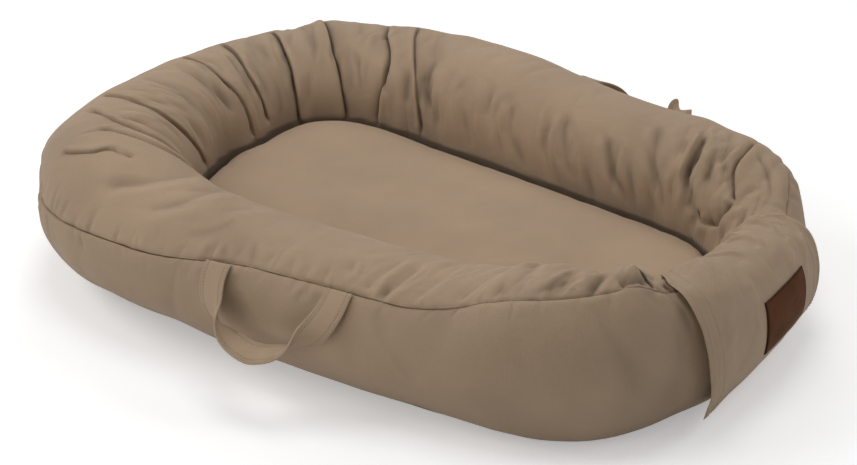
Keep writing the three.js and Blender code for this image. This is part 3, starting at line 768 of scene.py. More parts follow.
def mattress_ring(inset, z, scale=1.0, steps=300):
    shares = np.arange(steps) / steps
    edge = plan_point(hollow_plan, shares)
    across = unit(edge - plan_point(outer_plan, shares))
    pressed = mattress_follow_share * bump_at(shares, wall_angle)
    edge = edge + across * (inset + pressed)[:, None]
    x = hollow_middle + (edge[:, 0] - hollow_middle) * scale
    return np.stack([x, edge[:, 1] * scale, np.full(steps, float(z))], 1)


def crown_rings(inset, bottom, top, crown_steps=42):
    radius = mattress_edge_radius
    rings = [mattress_ring(inset, z) for z in np.linspace(bottom, top - radius, wall_rows)]
    for turn in np.radians(np.linspace(0, 90, edge_rows)[1:]):
        back = radius * (1 - math.cos(turn))
        down = radius * (1 - math.sin(turn))
        rings.append(mattress_ring(inset + back, top - down))
    for scale in np.linspace(1, 0, crown_steps)[1:-1]:
        rings.append(mattress_ring(inset + radius, top + mattress_crown * (1 - scale ** 2), scale))
    return rings


def mattress_rise(x):
    """How much higher the mattress's top is toward the head."""
    return mattress_head_lift * smooth_step(hollow_middle - x, 0.3 * hollow_reach, hollow_reach)


mattress_top = base_top + mattress_height
mattress_seam = base_top + mattress_seam_height
mattress_creases = [
    [(-0.02, -0.30), (0.14, -0.02), (0.22, 0.34)], [(0.3, -0.52), (0.44, -0.16), (0.5, 0.2)],
    [(0.46, -0.6), (0.6, -0.24), (0.66, 0.1)], [(-0.55, -0.3), (-0.36, 0.02), (-0.26, 0.4)],
    [(0.62, -0.3), (0.74, 0.02), (0.8, 0.36)], [(-0.1, 0.3), (0.1, 0.52), (0.3, 0.62)],
]


mattress_wrinkle_count = 26
puff_frames = (1, 18)
puff_voxel = 0.006
puff_limit = 0.0026
puff_cloth = {
    "quality": 4, "mass": 0.3, "tension_stiffness": 18, "compression_stiffness": 4,
    "bending_stiffness": 0.6, "use_pressure": True, "uniform_pressure_force": 2.2,
}


def puffed(piece):
    """The pad's cloth blown up a little by simulation, with each point held near its start."""
    start_frame, end_frame = puff_frames
    remesh = piece.modifiers.new("even", "REMESH")
    remesh.mode = "VOXEL"
    remesh.voxel_size = puff_voxel
    freeze(piece)
    cloth = piece.modifiers.new("cloth", "CLOTH")
    for title, value in puff_cloth.items():
        setattr(cloth.settings, title, value)
    cloth.settings.effector_weights.gravity = 0
    cloth.point_cache.frame_start = start_frame
    cloth.point_cache.frame_end = end_frame
    before = vertex_points(piece)
    scene = bpy.context.scene
    for step in range(start_frame, end_frame + 1):
        scene.frame_set(step)
    graph = bpy.context.evaluated_depsgraph_get()
    after = vertex_points(piece.evaluated_get(graph))
    piece.modifiers.clear()
    scene.frame_set(start_frame)
    moved = after - before
    size = np.linalg.norm(moved, axis=1, keepdims=True)
    held = moved * (np.tanh(size / puff_limit) * puff_limit / np.maximum(size, 1e-9))
    put_points(piece, before + held)


def vertex_points(piece):
    points = np.zeros(len(piece.data.vertices) * 3, np.float32)
    piece.data.vertices.foreach_get("co", points)
    return points.reshape(-1, 3).astype(float)


def put_points(piece, points):
    piece.data.vertices.foreach_set("co", points.astype(np.float32).ravel())
    piece.data.update()


def freeze(piece):
    """Replaces a piece's mesh by its evaluated one, and drops its modifiers."""
    graph = bpy.context.evaluated_depsgraph_get()
    made = bpy.data.meshes.new_from_object(piece.evaluated_get(graph))
    old = piece.data
    piece.modifiers.clear()
    piece.data = made
    made.name = piece.name
    if not old.users:
        bpy.data.meshes.remove(old)
    return piece


def planar_uv(piece):
    """A flat map from above, in metres."""
    points = vertex_points(piece)
    mesh = piece.data
    layer = mesh.uv_layers.get("cloth") or mesh.uv_layers.new(name="cloth")
    loops = np.zeros(len(mesh.loops), np.int32)
    mesh.loops.foreach_get("vertex_index", loops)
    layer.data.foreach_set("uv", points[loops][:, :2].astype(np.float32).ravel())


def mattress_cover():
    """The crowned top of the mattress cover, puffed and with faint creases."""
    outside = np.array(crown_rings(mattress_clearance, mattress_seam + layer_gap, mattress_top - 1.6))
    low = mattress_ring(mattress_clearance + 12, mattress_seam + layer_gap)
    piece = disc_stack("mattress_cover", np.concatenate([low[None], outside]))
    puffed(piece)
    points = vertex_points(piece) * metre - frame_shift
    rng = np.random.default_rng(5)
    middle = np.array([hollow_middle, 0, mattress_top])
    reach = np.array([hollow_reach, hollow_plan["foot_half"], 0])
    flat = points.copy()
    flat[:, 2] = mattress_top
    field = new_field(flat, np.tile([0.0, 0.0, 1.0], (len(points), 1)))
    for path in mattress_creases:
        ends = np.array([middle + reach * np.array([x, y, 0]) for x, y in path])
        wrinkle(field, ends, fold_depth * 0.13, fold_width * 1.4, 0.3, 0.3, 0.3)
    for _ in range(mattress_wrinkle_count):
        start = middle + reach * np.array([rng.uniform(-0.9, 0.9), rng.uniform(-0.8, 0.8), 0])
        turn = rng.normal(0.9, 0.35)
        size = rng.uniform(0.12, 0.34) * reach[0]
        end = start + np.array([math.cos(turn), math.sin(turn), 0]) * size
        wrinkle(
            field, np.array([start, (start + end) / 2, end]),
            fold_depth * rng.uniform(0.03, 0.09), fold_width * rng.uniform(0.6, 1.4),
        )
    u = (points[:, 0] - middle[0]) / (2 * reach[0]) + 0.5
    v = (points[:, 1] / (2 * hollow_plan["head_half"])) + 0.5
    depths = field["depths"] - 0.9 * patchy(u * 0.9, v, 9, 6, rng)
    top = smooth_step(points[:, 2], mattress_top - mattress_edge_radius, mattress_top)
    points[:, 2] += (mattress_rise(points[:, 0]) - depths) * top
    put_points(piece, in_frame(points))
    opened(piece, mattress_seam + layer_gap)
    subdivide_once(piece)
    planar_uv(piece)
    smooth_shaded(piece.data)
    return piece


def opened(piece, rim_height):
    """Takes off a puffed piece's flat underside, and gives the rest the cloth's thickness."""
    mesh = bmesh.new()
    mesh.from_mesh(piece.data)
    limit = (rim_height + 4) / metre
    level = [face for face in mesh.faces if abs(face.normal.z) > 0.5]
    under = [face for face in level if face.calc_center_median().z < limit]
    bmesh.ops.delete(mesh, geom=under, context="FACES")
    for edge in mesh.edges:
        if edge.is_boundary:
            for vertex in edge.verts:
                vertex.co.z = rim_height / metre
    mesh.to_mesh(piece.data)
    mesh.free()
    modifier = piece.modifiers.new("cloth", "SOLIDIFY")
    modifier.thickness = mattress_cover_thickness / metre
    modifier.offset = -1
    freeze(piece)


def subdivide_once(piece):
    modifier = piece.modifiers.new("soft", "SUBSURF")
    modifier.levels = 1
    modifier.render_levels = 1
    freeze(piece)


tray_shares = (0.02, 0.35, 0.7, 0.95)


def mattress_tray():
    """The underside of the mattress cover, with its border up to the seam."""
    wall = mattress_cover_thickness
    rows = [mattress_ring(mattress_clearance + wall, base_top + wall, s) for s in tray_shares]
    rows.append(mattress_ring(mattress_clearance + wall, base_top + wall))
    rows += [mattress_ring(mattress_clearance + wall, z) for z in np.linspace(base_top + 6, mattress_seam, 4)]
    rows += [mattress_ring(mattress_clearance, z) for z in np.linspace(mattress_seam, base_top + 3, 5)]
    rows.append(mattress_ring(mattress_clearance + 1, base_top + 0.6))
    rows += [mattress_ring(mattress_clearance + 4, base_top, s) for s in (1, *tray_shares[::-1])]
    piece = disc_stack("mattress_tray", np.array(rows))
    planar_uv(piece)
    return piece


def mattress_core():
    bottom = base_top + mattress_cover_thickness + layer_gap
    inset = mattress_clearance + 13
    rings = crown_rings(inset, bottom, mattress_top - mattress_cover_thickness - 8, 20)
    low = mattress_ring(inset + 10, bottom - 0.01, 0.5)
    return disc_stack("mattress_core", np.concatenate([low[None], np.array(rings)]))


# The filled inner roll.


liner_grid = (320, 60)
filling_grid = (260, 48)


def roll_tube(inset, steps, section_steps):
    shares = np.linspace(0.0004, 0.9996, steps)
    angles = np.arange(section_steps) * 360 / section_steps + bottom_seam_angle
    return roll_point(shares[:, None], angles[None, :], inset - bump_at(shares[:, None], angles))


def unit_grid(rows, columns):
    return np.meshgrid(np.linspace(0, 1, rows), np.linspace(0, 1, columns), indexing="ij")


def inner_liner():
    inset = cover_thickness + liner_slack
    outside = roll_tube(inset, *liner_grid)
    inside = roll_tube(inset + liner_thickness, *liner_grid)
    rng = np.random.default_rng(31)
    shares, angles = unit_grid(*liner_grid)
    ripple = 0.5 * patchy(shares, angles, 120, 6, rng)[..., None]
    middle = outside.mean(1, keepdims=True)
    outside = outside + unit(middle - outside) * np.abs(ripple)
    inside = inside + unit(middle - inside) * np.abs(ripple)
    return loft("roll_lining", np.concatenate([outside, inside[::-1]]), True)


def inner_filling():
    points = roll_tube(cover_thickness + liner_slack + liner_thickness + fibre_slack, *filling_grid)
    rng = np.random.default_rng(37)
    shares, angles = unit_grid(*filling_grid)
    lumps = np.abs(2.2 * patchy(shares, angles, 90, 10, rng) + 1.2 * patchy(shares, angles, 200, 22, rng))
    middle = points.mean(1, keepdims=True)
    points = points + unit(middle - points) * lumps[..., None]
    return loft("roll_filling", points, False, fans=True)


# The base.


def inset_outline(inset, steps=240):
    shares = np.arange(steps) / steps
    outer = plan_point(outer_plan, shares)
    across = unit(plan_point(hollow_plan, shares) - outer)
    tucked = base_tuck["inset"] * np.exp(-(((shares - base_tuck["share"]) / base_tuck["spread"]) ** 2))
    return outer + across * (inset + tucked)[:, None]


pad_rings = 34
pad_core_share = 0.02
pad_edge_turns = (25, 50, 75)
quilt_pitch = 48


def flat_pad(name, inset, low, high, edge, quilt=0.0):
    """A thin pad with a rounded edge and a slot for the zip."""
    outline = inset_outline(inset)
    middle = outline.mean(0)
    levels = [(scale, low) for scale in np.linspace(pad_core_share, 1, pad_rings)]
    for turn in np.radians(pad_edge_turns):
        levels.append((1 + edge * math.sin(2 * turn) / metre, low + (high - low) * turn / (np.pi / 2)))
    levels += [(scale, high) for scale in np.linspace(1, pad_core_share, pad_rings)]
    stack = np.array([
        np.column_stack([middle + (outline - middle) * scale, np.full(len(outline), float(z))])
        for scale, z in levels
    ])
    if quilt:
        across = np.abs(np.sin(np.pi * (stack[..., 0] + stack[..., 1]) / quilt_pitch))
        back = np.abs(np.sin(np.pi * (stack[..., 0] - stack[..., 1]) / quilt_pitch))
        puff = np.minimum(across, back) ** 0.5
        middle_z = (low + high) / 2
        stack[..., 2] = middle_z + (stack[..., 2] - middle_z) * (1 - quilt * (1 - puff))
    piece = disc_stack(name, stack)
    cutter = zip_cutter(low, high)
    modifier = piece.modifiers.new("slot", "BOOLEAN")
    modifier.operation = "DIFFERENCE"
    modifier.solver = "EXACT"
    modifier.object = cutter
    freeze(piece)
    bpy.data.objects.remove(cutter)
    planar_uv(piece)
    return piece


def zip_cutter(low, high):
    half_wide = zip_tape_width / 2 + layer_gap
    half_long = zip_length / 2 + layer_gap
    corners = np.array([
        [zip_place + x * half_wide, y * half_long, z]
        for z in (low - 5, high + 5) for x, y in ((-1, -1), (1, -1), (1, 1), (-1, 1))
    ])
    faces = [[3, 2, 1, 0], [4, 5, 6, 7], [0, 1, 5, 4], [1, 2, 6, 5], [2, 3, 7, 6], [3, 0, 4, 7]]
    return make_piece("cutter", corners, faces)


# Geometry Nodes for what repeats.


def node_tree(name, inputs):
    """A tree with one geometry in and out, and named inputs for its sizes."""
    tree = bpy.data.node_groups.new(name, "GeometryNodeTree")
    tree.interface.new_socket(name="Geometry", in_out="INPUT", socket_type="NodeSocketGeometry")
    for title, kind in inputs:
        tree.interface.new_socket(name=title, in_out="INPUT", socket_type=kind)
    tree.interface.new_socket(name="Geometry", in_out="OUTPUT", socket_type="NodeSocketGeometry")
    return tree, tree.nodes.new("NodeGroupInput"), tree.nodes.new("NodeGroupOutput")


def set_inputs(node, values):
    for title, value in values.items():
        node.inputs[title].default_value = value


def wire(tree, source, target):
    tree.links.new(source, target)


def bead_tree(name, segments, rings, along_lines):
    """Small beads on the points of a mesh, or laid end to end along its lines at a pitch."""
    pitch = [("Pitch", "NodeSocketFloat")] if along_lines else []
    sizes = [("Size", "NodeSocketVector"), ("Coat", "NodeSocketMaterial")]
    tree, given, result = node_tree(name, pitch + sizes)
    nodes = tree.nodes
    bead = nodes.new("GeometryNodeMeshUVSphere")
    set_inputs(bead, {"Segments": segments, "Rings": rings, "Radius": 1.0})
    laid = nodes.new("GeometryNodeInstanceOnPoints")
    shade = nodes.new("GeometryNodeSetShadeSmooth")
    real = nodes.new("GeometryNodeRealizeInstances")
    coat = nodes.new("GeometryNodeSetMaterial")
    places = given.outputs["Geometry"]
    if along_lines:
        curve = nodes.new("GeometryNodeMeshToCurve")
        spaced = nodes.new("GeometryNodeResampleCurve")
        spaced.mode = "LENGTH"
        turn = nodes.new("FunctionNodeAlignEulerToVector")
        turn.axis = "X"
        wire(tree, places, curve.inputs[0])
        wire(tree, curve.outputs[0], spaced.inputs["Curve"])
        wire(tree, given.outputs["Pitch"], spaced.inputs["Length"])
        wire(tree, nodes.new("GeometryNodeInputTangent").outputs[0], turn.inputs["Vector"])
        wire(tree, turn.outputs[0], laid.inputs["Rotation"])
        places = spaced.outputs[0]
    wire(tree, places, laid.inputs["Points"])
    wire(tree, bead.outputs["Mesh"], laid.inputs["Instance"])
    wire(tree, given.outputs["Size"], laid.inputs["Scale"])
    for before, after in ((laid, shade), (shade, real), (real, coat)):
        wire(tree, before.outputs[0], after.inputs[0])
    wire(tree, given.outputs["Coat"], coat.inputs["Material"])
    wire(tree, coat.outputs[0], result.inputs[0])
    return tree


def grown(name, points, edges, tree, values):
    """A plain mesh made by a tree from bare points or lines."""
    mesh = bpy.data.meshes.new(name)
    mesh.from_pydata(in_frame(points).tolist(), edges, [])
    piece = placed_object(name, mesh)
    modifier = piece.modifiers.new("made", "NODES")
    modifier.node_group = tree
    for item in tree.interface.items_tree:
        if item.in_out == "INPUT" and item.name in values:
            modifier[item.identifier] = values[item.name]
    return freeze(piece)


def stitches(name, lines, tree, thread, pitch=3.6, length=1.25, thick=0.36):
    points = np.concatenate(lines)
    edges, start = [], 0
    for line in lines:
        edges += [(start + k, start + k + 1) for k in range(len(line) - 1)]
        start += len(line)
    size = (length / metre, thick / metre, thick / metre)
    return grown(name, points, edges, tree, {"Pitch": pitch / metre, "Size": size, "Coat": thread})


# The handles.


def seam_point(x, side):
    low, high = foot_arc_share, 0.5 - head_arc_share / 2
    for _ in range(30):
        middle = (low + high) / 2
        share = middle if side > 0 else 1 - middle
        if roll_point(share, seam_angle(share))[0] > x:
            low = middle
        else:
            high = middle
    share = low if side > 0 else 1 - low
    return roll_point(share, seam_angle(share))


def strap_frames(strap, steps):
    """The strap's middle line with its wide and thick directions."""
    start = seam_point(strap["place"] - strap_span / 2, strap["side"])
    end = seam_point(strap["place"] + strap_span / 2, strap["side"])
    along = (end - start) * [1, 1, 0]
    span = np.linalg.norm(along)
    along = along / span
    out = np.array([-along[1], along[0], 0]) * strap["side"]
    up = np.array([0.0, 0.0, 1.0])

    def at(turn):
        s = np.maximum(np.sin(turn), 0)
        late = (turn > np.pi / 2).astype(int)
        hump_at = np.array(strap["humps_at"])[late]
        hump = np.exp(-(((s - hump_at) / strap_hump_spread) ** 2)) * smooth_step(s, 0, 0.2)
        hump = hump * (1 - smooth_step(s, strap_hump_fade, 1))
        height = np.array(strap["rises"])[late] * hump - strap["drop"] * s ** strap["drop_power"]
        rise = height + (end[2] - start[2]) * turn / np.pi
        run = span / 2 * (1 - np.cos(turn) * np.abs(np.cos(turn)) ** strap["pinch"])
        reach = strap["lead"] + strap["reach"] * s ** np.array(strap["reach_powers"])[late]
        return start + run[:, None] * along + reach[:, None] * out + rise[:, None] * up

    tilt = math.radians(strap_tilt)
    face = out * math.cos(tilt) - up * math.sin(tilt)
    turn = np.linspace(0, np.pi, steps + 1)
    half_step = np.pi / 60
    middle = at(turn)
    tangent = unit(at(np.minimum(turn + half_step, np.pi)) - at(np.maximum(turn - half_step, 0)))
    wide = np.cos(turn)[:, None] * along + np.sin(turn)[:, None] * face
    wide = unit(wide - np.einsum("ij,ij->i", wide, tangent)[:, None] * tangent)
    return middle, wide, np.cross(wide, tangent)


strap_half_section_shares = [
    (0.5, 0.18), (0.495, 0.34), (0.478, 0.45), (0.455, 0.5), (0.43, 0.4), (0.4, 0.5), (0.365, 0.5),
    (0.33, 0.38), (0.295, 0.5), (0.2, 0.5), (0.08, 0.5),
]
upper_shares = strap_half_section_shares + [(-w, t) for w, t in strap_half_section_shares[::-1]]
strap_section_shares = upper_shares + [(-w, -t) for w, t in upper_shares]
strap_stitch_shares = [0.33, 0.43]
# How strongly the strap's sewn grooves get painted shade, through the fold attribute.
sewn_line_shade = 5
strap_steps = 150


def strap_piece(name, strap, seed):
    middle, wide, thick = strap_frames(strap, strap_steps)
    rng = np.random.default_rng(seed)
    at = np.linspace(0, 1, strap_steps + 1)
    sway = 0.7 * patchy(at, at * 0, 9, 1, rng) * np.sin(np.pi * at)
    rings = []
    for k in range(strap_steps + 1):
        ring = []
        for w, t in strap_section_shares:
            bow = 0.5 * math.sin(math.pi * at[k] * 14 + 4 * w) * math.sin(math.pi * at[k])
            place = middle[k] + wide[k] * w * strap_width
            ring.append(place + thick[k] * (t * strap_thickness + 0.35 * bow + sway[k]))
        rings.append(ring)
    # Painted shade in the sewn grooves: the thin parts of the strap's section get fold values.
    hollow = [(0.5 - abs(t)) * sewn_line_shade * (abs(w) < 0.46) for w, t in strap_section_shares]
    piece = loft(name, np.array(rings), False, values={"fold": np.tile(hollow, strap_steps + 1)})
    lines = []
    for side in (-1, 1):
        for share in strap_stitch_shares:
            for face in (-1, 1):
                lift = face * (strap_thickness / 2 - 0.12)
                line = middle + wide * side * share * strap_width + thick * (lift + sway[:, None])
                lines.append(line[3:-3])
    return piece, lines


def strap_length(strap):
    middle = strap_frames(strap, strap_steps)[0]
    return np.linalg.norm(np.diff(middle, axis=0), axis=1).sum()


# The flap.

flap_half_share = foot_arc_share * flap_half_angle / 90
share_across = foot_arc_share / (math.pi / 2) / half_width(outer_plan, outer_plan["foot"])
flap_snug = 2.2
flap_half_width = 118
flap_wrinkle_count = 90
lead_steps = 16
tail_steps = 22
flap_columns = 132
flap_rows = 150
flap_folds = [
    (-0.4, 0.6, [(1.0, 112), (0.98, 88), (0.95, 72), (0.92, 54), (0.84, 40)]),
    (0.36, 0.5, [(1.0, 98), (0.93, 84), (0.86, 70)]),
    (-0.46, 0.5, [(0.96, 112), (0.865, 97), (0.747, 83), (0.667, 72)]),
    (0.4, 0.55, [(0.96, 122), (0.84, 108), (0.74, 94), (0.66, 84)]),
    (-0.34, 0.45, [(1.0, 134), (0.9, 122), (0.835, 113), (0.77, 98)]),
    (-0.4, 0.5, [(1.0, 144), (0.85, 134), (0.73, 125), (0.54, 108), (0.5, 96)]),
    (0.36, 0.5, [(0.9, 146), (0.72, 136), (0.6, 124), (0.46, 112)]),
    (-0.4, 0.45, [(0.3, 118), (0.36, 108), (0.42, 97), (0.355, 85), (0.28, 70)]),
    (0.32, 0.45, [(0.24, 112), (0.3, 100), (0.28, 88), (0.2, 76)]),
    (-0.36, 0.6, [(-0.42, 142), (-0.2, 116), (-0.03, 98), (0.03, 83), (0.0, 68)]),
    (0.3, 0.6, [(-0.3, 120), (-0.12, 102), (-0.06, 86), (-0.08, 72)]),
    (-0.3, 0.7, [(0.74, 66), (0.57, 56), (0.42, 42), (0.36, 26)]),
    (-0.34, 0.6, [(0.88, 56), (0.76, 44), (0.66, 28), (0.62, 10)]),
    (0.34, 0.6, [(0.98, 77), (0.94, 64), (0.9, 50), (0.86, 34)]),
    (0.26, 0.6, [(0.68, 70), (0.6, 58), (0.5, 48)]),
    (-0.24, 0.4, [(0.56, 122), (0.44, 112), (0.32, 104)]),
    (0.14, 1.2, [(-0.66, 120), (-0.7, 94), (-0.74, 66), (-0.76, 30)]),
    (0.16, 1.4, [(-0.1, 60), (-0.2, 30), (-0.26, 0)]),
    (0.18, 1.4, [(-0.52, 50), (-0.58, 18), (-0.62, -14)]),
]


def flap_half_at(degrees, width_shares):
    angles = flap_width_angles[::-1]
    return flap_half_share * np.interp(degrees, angles, width_shares[::-1])


def flap_ease(across, degrees):
    """How far the flap's sides gape off its gap, low down."""
    low = 1 - smooth_step(degrees, 0, 90)
    return flap_gape * across ** 4 * low


def over_flap(across, degrees, lift):
    """A point of a layer of the flap, at a lift over its inner face."""
    share = across * flap_half_at(degrees, flap_width_shares)
    snug = flap_snug * smooth_step(np.abs(across), 0.55, 1) * smooth_step(degrees, 50, 85)
    bump = bump_at(share, degrees)
    press = snug - np.maximum(bump, 0) - np.minimum(bump, 0) * smooth_step(degrees, 40, 75)
    return roll_point(share, degrees, press - flap_gap - lift - flap_ease(across, degrees))


def flap_grids():
    across = np.linspace(-1, 1, flap_columns + 1)
    angles = np.linspace(flap_top_angle, flap_side_angle, flap_rows)
    u, a = np.meshgrid(across, angles, indexing="ij")
    body = over_flap(u, a, flap_thickness)
    seam = plan_point(hollow_plan, across * flap_half_share)
    hinge = np.column_stack([
        np.full(len(across), hollow_plan["foot"] - flap_hinge_inset), seam[:, 1],
        np.full(len(across), flap_hinge_height + flap_thickness / 2),
    ])
    rise = np.linspace(0, 1, lead_steps)[None, :-1, None]
    lead = hinge[:, None] * (1 - rise) + body[:, :1] * rise
    lead[..., 0] -= flap_lead_bow * np.sin(np.pi * rise[..., 0] ** 0.7)
    low = across * flap_half_at(np.array(flap_side_angle), flap_width_shares)
    outer = plan_point(outer_plan, low)
    away = unit(outer - plan_point(hollow_plan, low))
    reach = flap_thickness + flap_ease(across, np.array(float(flap_side_angle))) - flap_hem_inset
    hem_height = flap_hem_height - flap_hem_corner_drop * smooth_step(-across, 0.6, 1)
    hem = np.column_stack([outer + away * reach[:, None], hem_height])
    fall = np.linspace(0, 1, tail_steps)[None, 1:, None]
    tail = body[:, -1:] * (1 - fall) + hem[:, None] * fall
    grid = np.concatenate([lead, body, tail], 1)
    return across, grid, lead.shape[1], tail.shape[1]


def flap_piece():
    rng = np.random.default_rng(41)
    across, grid, lead_rows, tail_rows = flap_grids()
    over = np.gradient(grid, axis=1)
    along = np.gradient(grid, axis=0)
    normals = unit(np.cross(along, over))
    centre = np.array([hollow_plan["foot"] + foot_roll_width / 2, 0, 60])
    facing = np.sign(np.einsum("ijk,ijk->ij", normals, grid - centre)).mean()
    normals = normals * (1 if facing > 0 else -1)
    field = new_field(grid, normals)
    for depth, width, stated_path in flap_folds:
        stated = np.array(stated_path, float)
        at = np.linspace(0, 1, 12)
        places = np.linspace(0, 1, len(stated))
        u = np.interp(at, places, stated[:, 0])
        a = np.interp(at, places, stated[:, 1])
        path = over_flap(u, a, flap_thickness)
        wrinkle(field, path, fold_depth * depth, fold_width * width, 0.3, 0.2, 0.35)
    for _ in range(flap_wrinkle_count):
        u, a = rng.uniform(-0.95, 0.95), rng.uniform(20, 148)
        t = np.linspace(0, 1, 4)
        path = over_flap(
            np.clip(u + rng.normal(-0.1, 0.12) * t, -1, 1), a - rng.uniform(12, 34) * t, flap_thickness,
        )
        wrinkle(field, path, fold_depth * rng.uniform(0.04, 0.15), fold_width * rng.uniform(0.3, 0.7))
    depths = field["depths"].reshape(grid.shape[:2])
    u, v = np.meshgrid((across + 1) / 2.2, np.linspace(0, 1, grid.shape[1]), indexing="ij")
    depths -= 1.2 * patchy(u, v, 5, 7, rng) + 0.5 * patchy(u, v, 13, 17, rng)
    over_patch = patch_hold(across, grid.shape[1], lead_rows)
    edge_distance = (1 - np.abs(across)) * flap_half_width
    edge = smooth_step(edge_distance, 0, 4)[:, None]
    ends = np.minimum(np.arange(grid.shape[1]), np.arange(grid.shape[1])[::-1])
    held = smooth_step(ends, 0, 10)[None, :]
    row_angles = np.concatenate([
        np.full(lead_rows, flap_top_angle), np.linspace(flap_top_angle, flap_side_angle, flap_rows),
        np.full(tail_rows, flap_side_angle),
    ])
    on_top = smooth_step(row_angles, 30, 60)[None, :]
    deepest_dip = 0.4 + 1.2 * on_top * smooth_step(edge_distance, 0, 40)[:, None]
    depths = np.minimum(np.maximum(depths, -4), deepest_dip) * held * (1 - over_patch)
    hem_line = np.exp(-(((edge_distance - 9) / 1.3) ** 2))[:, None] * 0.5
    outside = grid - normals * (depths + hem_line)[..., None]
    thin = flap_thickness * (0.45 + 0.55 * np.minimum(edge, smooth_step(ends, 0, 2)[None, :]))
    inside = outside - normals * thin[..., None]
    outside = outside - normals * (0.5 * (flap_thickness - thin))[..., None]
    # The fold attribute, which the cloth shader turns into painted shade in the flap's valleys and a painted
    # highlight on its ridges.
    fold = np.concatenate([depths, depths[:, ::-1] * 0], 1).ravel() / fold_depth
    piece = sheet_piece("flap_over_foot", outside, inside, values={"fold": fold})
    lines = []
    for side in (0, -1):
        step = 1 if side == 0 else -1
        for inset in (3, 10):
            at = side + step * inset
            lines.append((outside[at] + normals[at] * 0.12)[8:])
    for row in (-3, -9):
        lines.append(outside[6:-6, row] + normals[6:-6, row] * 0.12)
    area = sheet_area(outside)
    return piece, lines, area


def patch_hold(across, rows, lead_rows):
    """1 under the leather patch, where the flap lies flat."""
    angles = np.full(rows, 200.0)
    angles[lead_rows:lead_rows + flap_rows] = np.linspace(flap_top_angle, flap_side_angle, flap_rows)
    angles[lead_rows + flap_rows:] = flap_side_angle
    middle = patch_place * share_across
    half = patch_width / 2 * share_across
    share = across[:, None] * flap_half_at(angles, flap_width_shares)[None, :]
    beside = 1 - smooth_step(np.abs(share - middle), half * 0.98, half * 1.3)
    above = 1 - smooth_step(angles, patch_top_angle, patch_top_angle + 10)
    below = smooth_step(angles, patch_bottom_angle - 8, patch_bottom_angle - 1)
    return beside * (above * below)[None, :]


def sheet_area(grid):
    a = np.diff(grid, axis=0)[:, :-1]
    b = np.diff(grid, axis=1)[:-1]
    return np.linalg.norm(np.cross(a, b), axis=-1).sum()


def over_foot(name, shares, angles, lift, thickness, columns, rows, ease=True, bulge=0.0):
    """A sheet laid over the foot between two shares round it and two angles."""
    share, angle = np.meshgrid(np.linspace(*shares, columns), np.linspace(*angles, rows), indexing="ij")
    across = share / flap_half_at(angle, solid_flap_width_shares)
    away = np.maximum(bump_at(share, angle), 0) + (flap_ease(across, angle) if ease else 0)
    rng = np.random.default_rng(3)
    x = np.linspace(0, 1, columns)[:, None]
    y = np.linspace(0, 1, rows)[None, :]
    edge = np.minimum(np.minimum(x, 1 - x) * columns, np.minimum(y, 1 - y) * rows)
    rounded = smooth_step(edge, -0.6, 2.2)
    wave = bulge * patchy(x + 0 * y, y + 0 * x, 5, 4, rng)
    top = roll_point(share, angle, -lift - away - thickness * (0.62 + 0.38 * rounded) - wave * rounded)
    bottom = roll_point(share, angle, -lift - away - thickness * 0.02 * (1 - rounded))
    edge_mm = np.minimum(np.minimum(x, 1 - x) * patch_width, np.minimum(y, 1 - y) * patch_length)
    rim = 1 - smooth_step(edge_mm, 0, 5) + 0 * share
    values = {"rim": np.concatenate([rim, rim[:, ::-1]], 1).ravel()}
    return sheet_piece(name, top, bottom, values=values), sheet_area(top)


def flap_root_piece():
    u = np.linspace(-1, 1, 48)
    share = flap_half_share * flap_root_share * u
    wall = plan_point(hollow_plan, share)
    inwards = unit(wall - plan_point(outer_plan, share))
    heights = np.linspace(base_top + 0.2, flap_hinge_height - flap_thickness / 2 - layer_gap * 2, 40)
    rng = np.random.default_rng(19)
    x, y = np.meshgrid((u + 1) / 2.2, np.linspace(0, 1, 40), indexing="ij")
    ripple = 0.35 * patchy(x, y, 14, 3, rng)
    grids = []
    for inset in (flap_root_inset + flap_root_thickness, flap_root_inset + 0.3):
        flat = wall[:, None] + inwards[:, None] * (inset + ripple)[..., None]
        grids.append(np.concatenate([flat, np.broadcast_to(heights, x.shape)[..., None]], -1))
    return sheet_piece("flap_root_cloth", *grids), sheet_area(grids[0])


def zip_tape(name, side):
    top = base_top - layer_gap
    bottom = top - zip_tape_thickness
    near = zip_place + side * zip_tape_gap / 2
    far = zip_place + side * zip_tape_width / 2
    x = np.linspace(near, far, 14)
    y = np.linspace(-zip_length / 2, zip_length / 2, 160)
    grid_y, grid_x = np.meshgrid(y, x, indexing="ij")
    cord = 0.14 * np.exp(-(((grid_x - near) / 1.1) ** 2))
    upper = np.stack([grid_x, grid_y, np.full(grid_x.shape, top) - 0.1], -1)
    lower = np.stack([grid_x, grid_y, bottom + 0.16 - cord], -1)
    return sheet_piece(name, upper, lower), sheet_area(upper)


# Materials.


def shader_group(name, inputs, outputs):
    group = bpy.data.node_groups.new(name, "ShaderNodeTree")
    for title, kind, value in inputs:
        socket = group.interface.new_socket(name=title, in_out="INPUT", socket_type=kind)
        if value is not None:
            socket.default_value = value
    for title, kind in outputs:
        group.interface.new_socket(name=title, in_out="OUTPUT", socket_type=kind)
    return group, group.nodes.new("NodeGroupInput"), group.nodes.new("NodeGroupOutput")


def math_node(tree, operation, a, b=None):
    node = tree.nodes.new("ShaderNodeMath")
    node.operation = operation
    for socket, value in zip(node.inputs, (a, b)):
        if value is None:
            continue
        if isinstance(value, (int, float)):
            socket.default_value = value
        else:
            tree.links.new(value, socket)
    return node.outputs[0]


def scaled(tree, value, gain, start):
    """A value times a gain, plus a start."""
    result = math_node(tree, "MULTIPLY_ADD", value, gain)
    result.node.inputs[2].default_value = start
    return result


def past(tree, value, gain, start=0.0):
    """How far a value times its gain is past a start, and 0 before it."""
    return math_node(tree, "MAXIMUM", scaled(tree, value, gain, -start), 0.0)


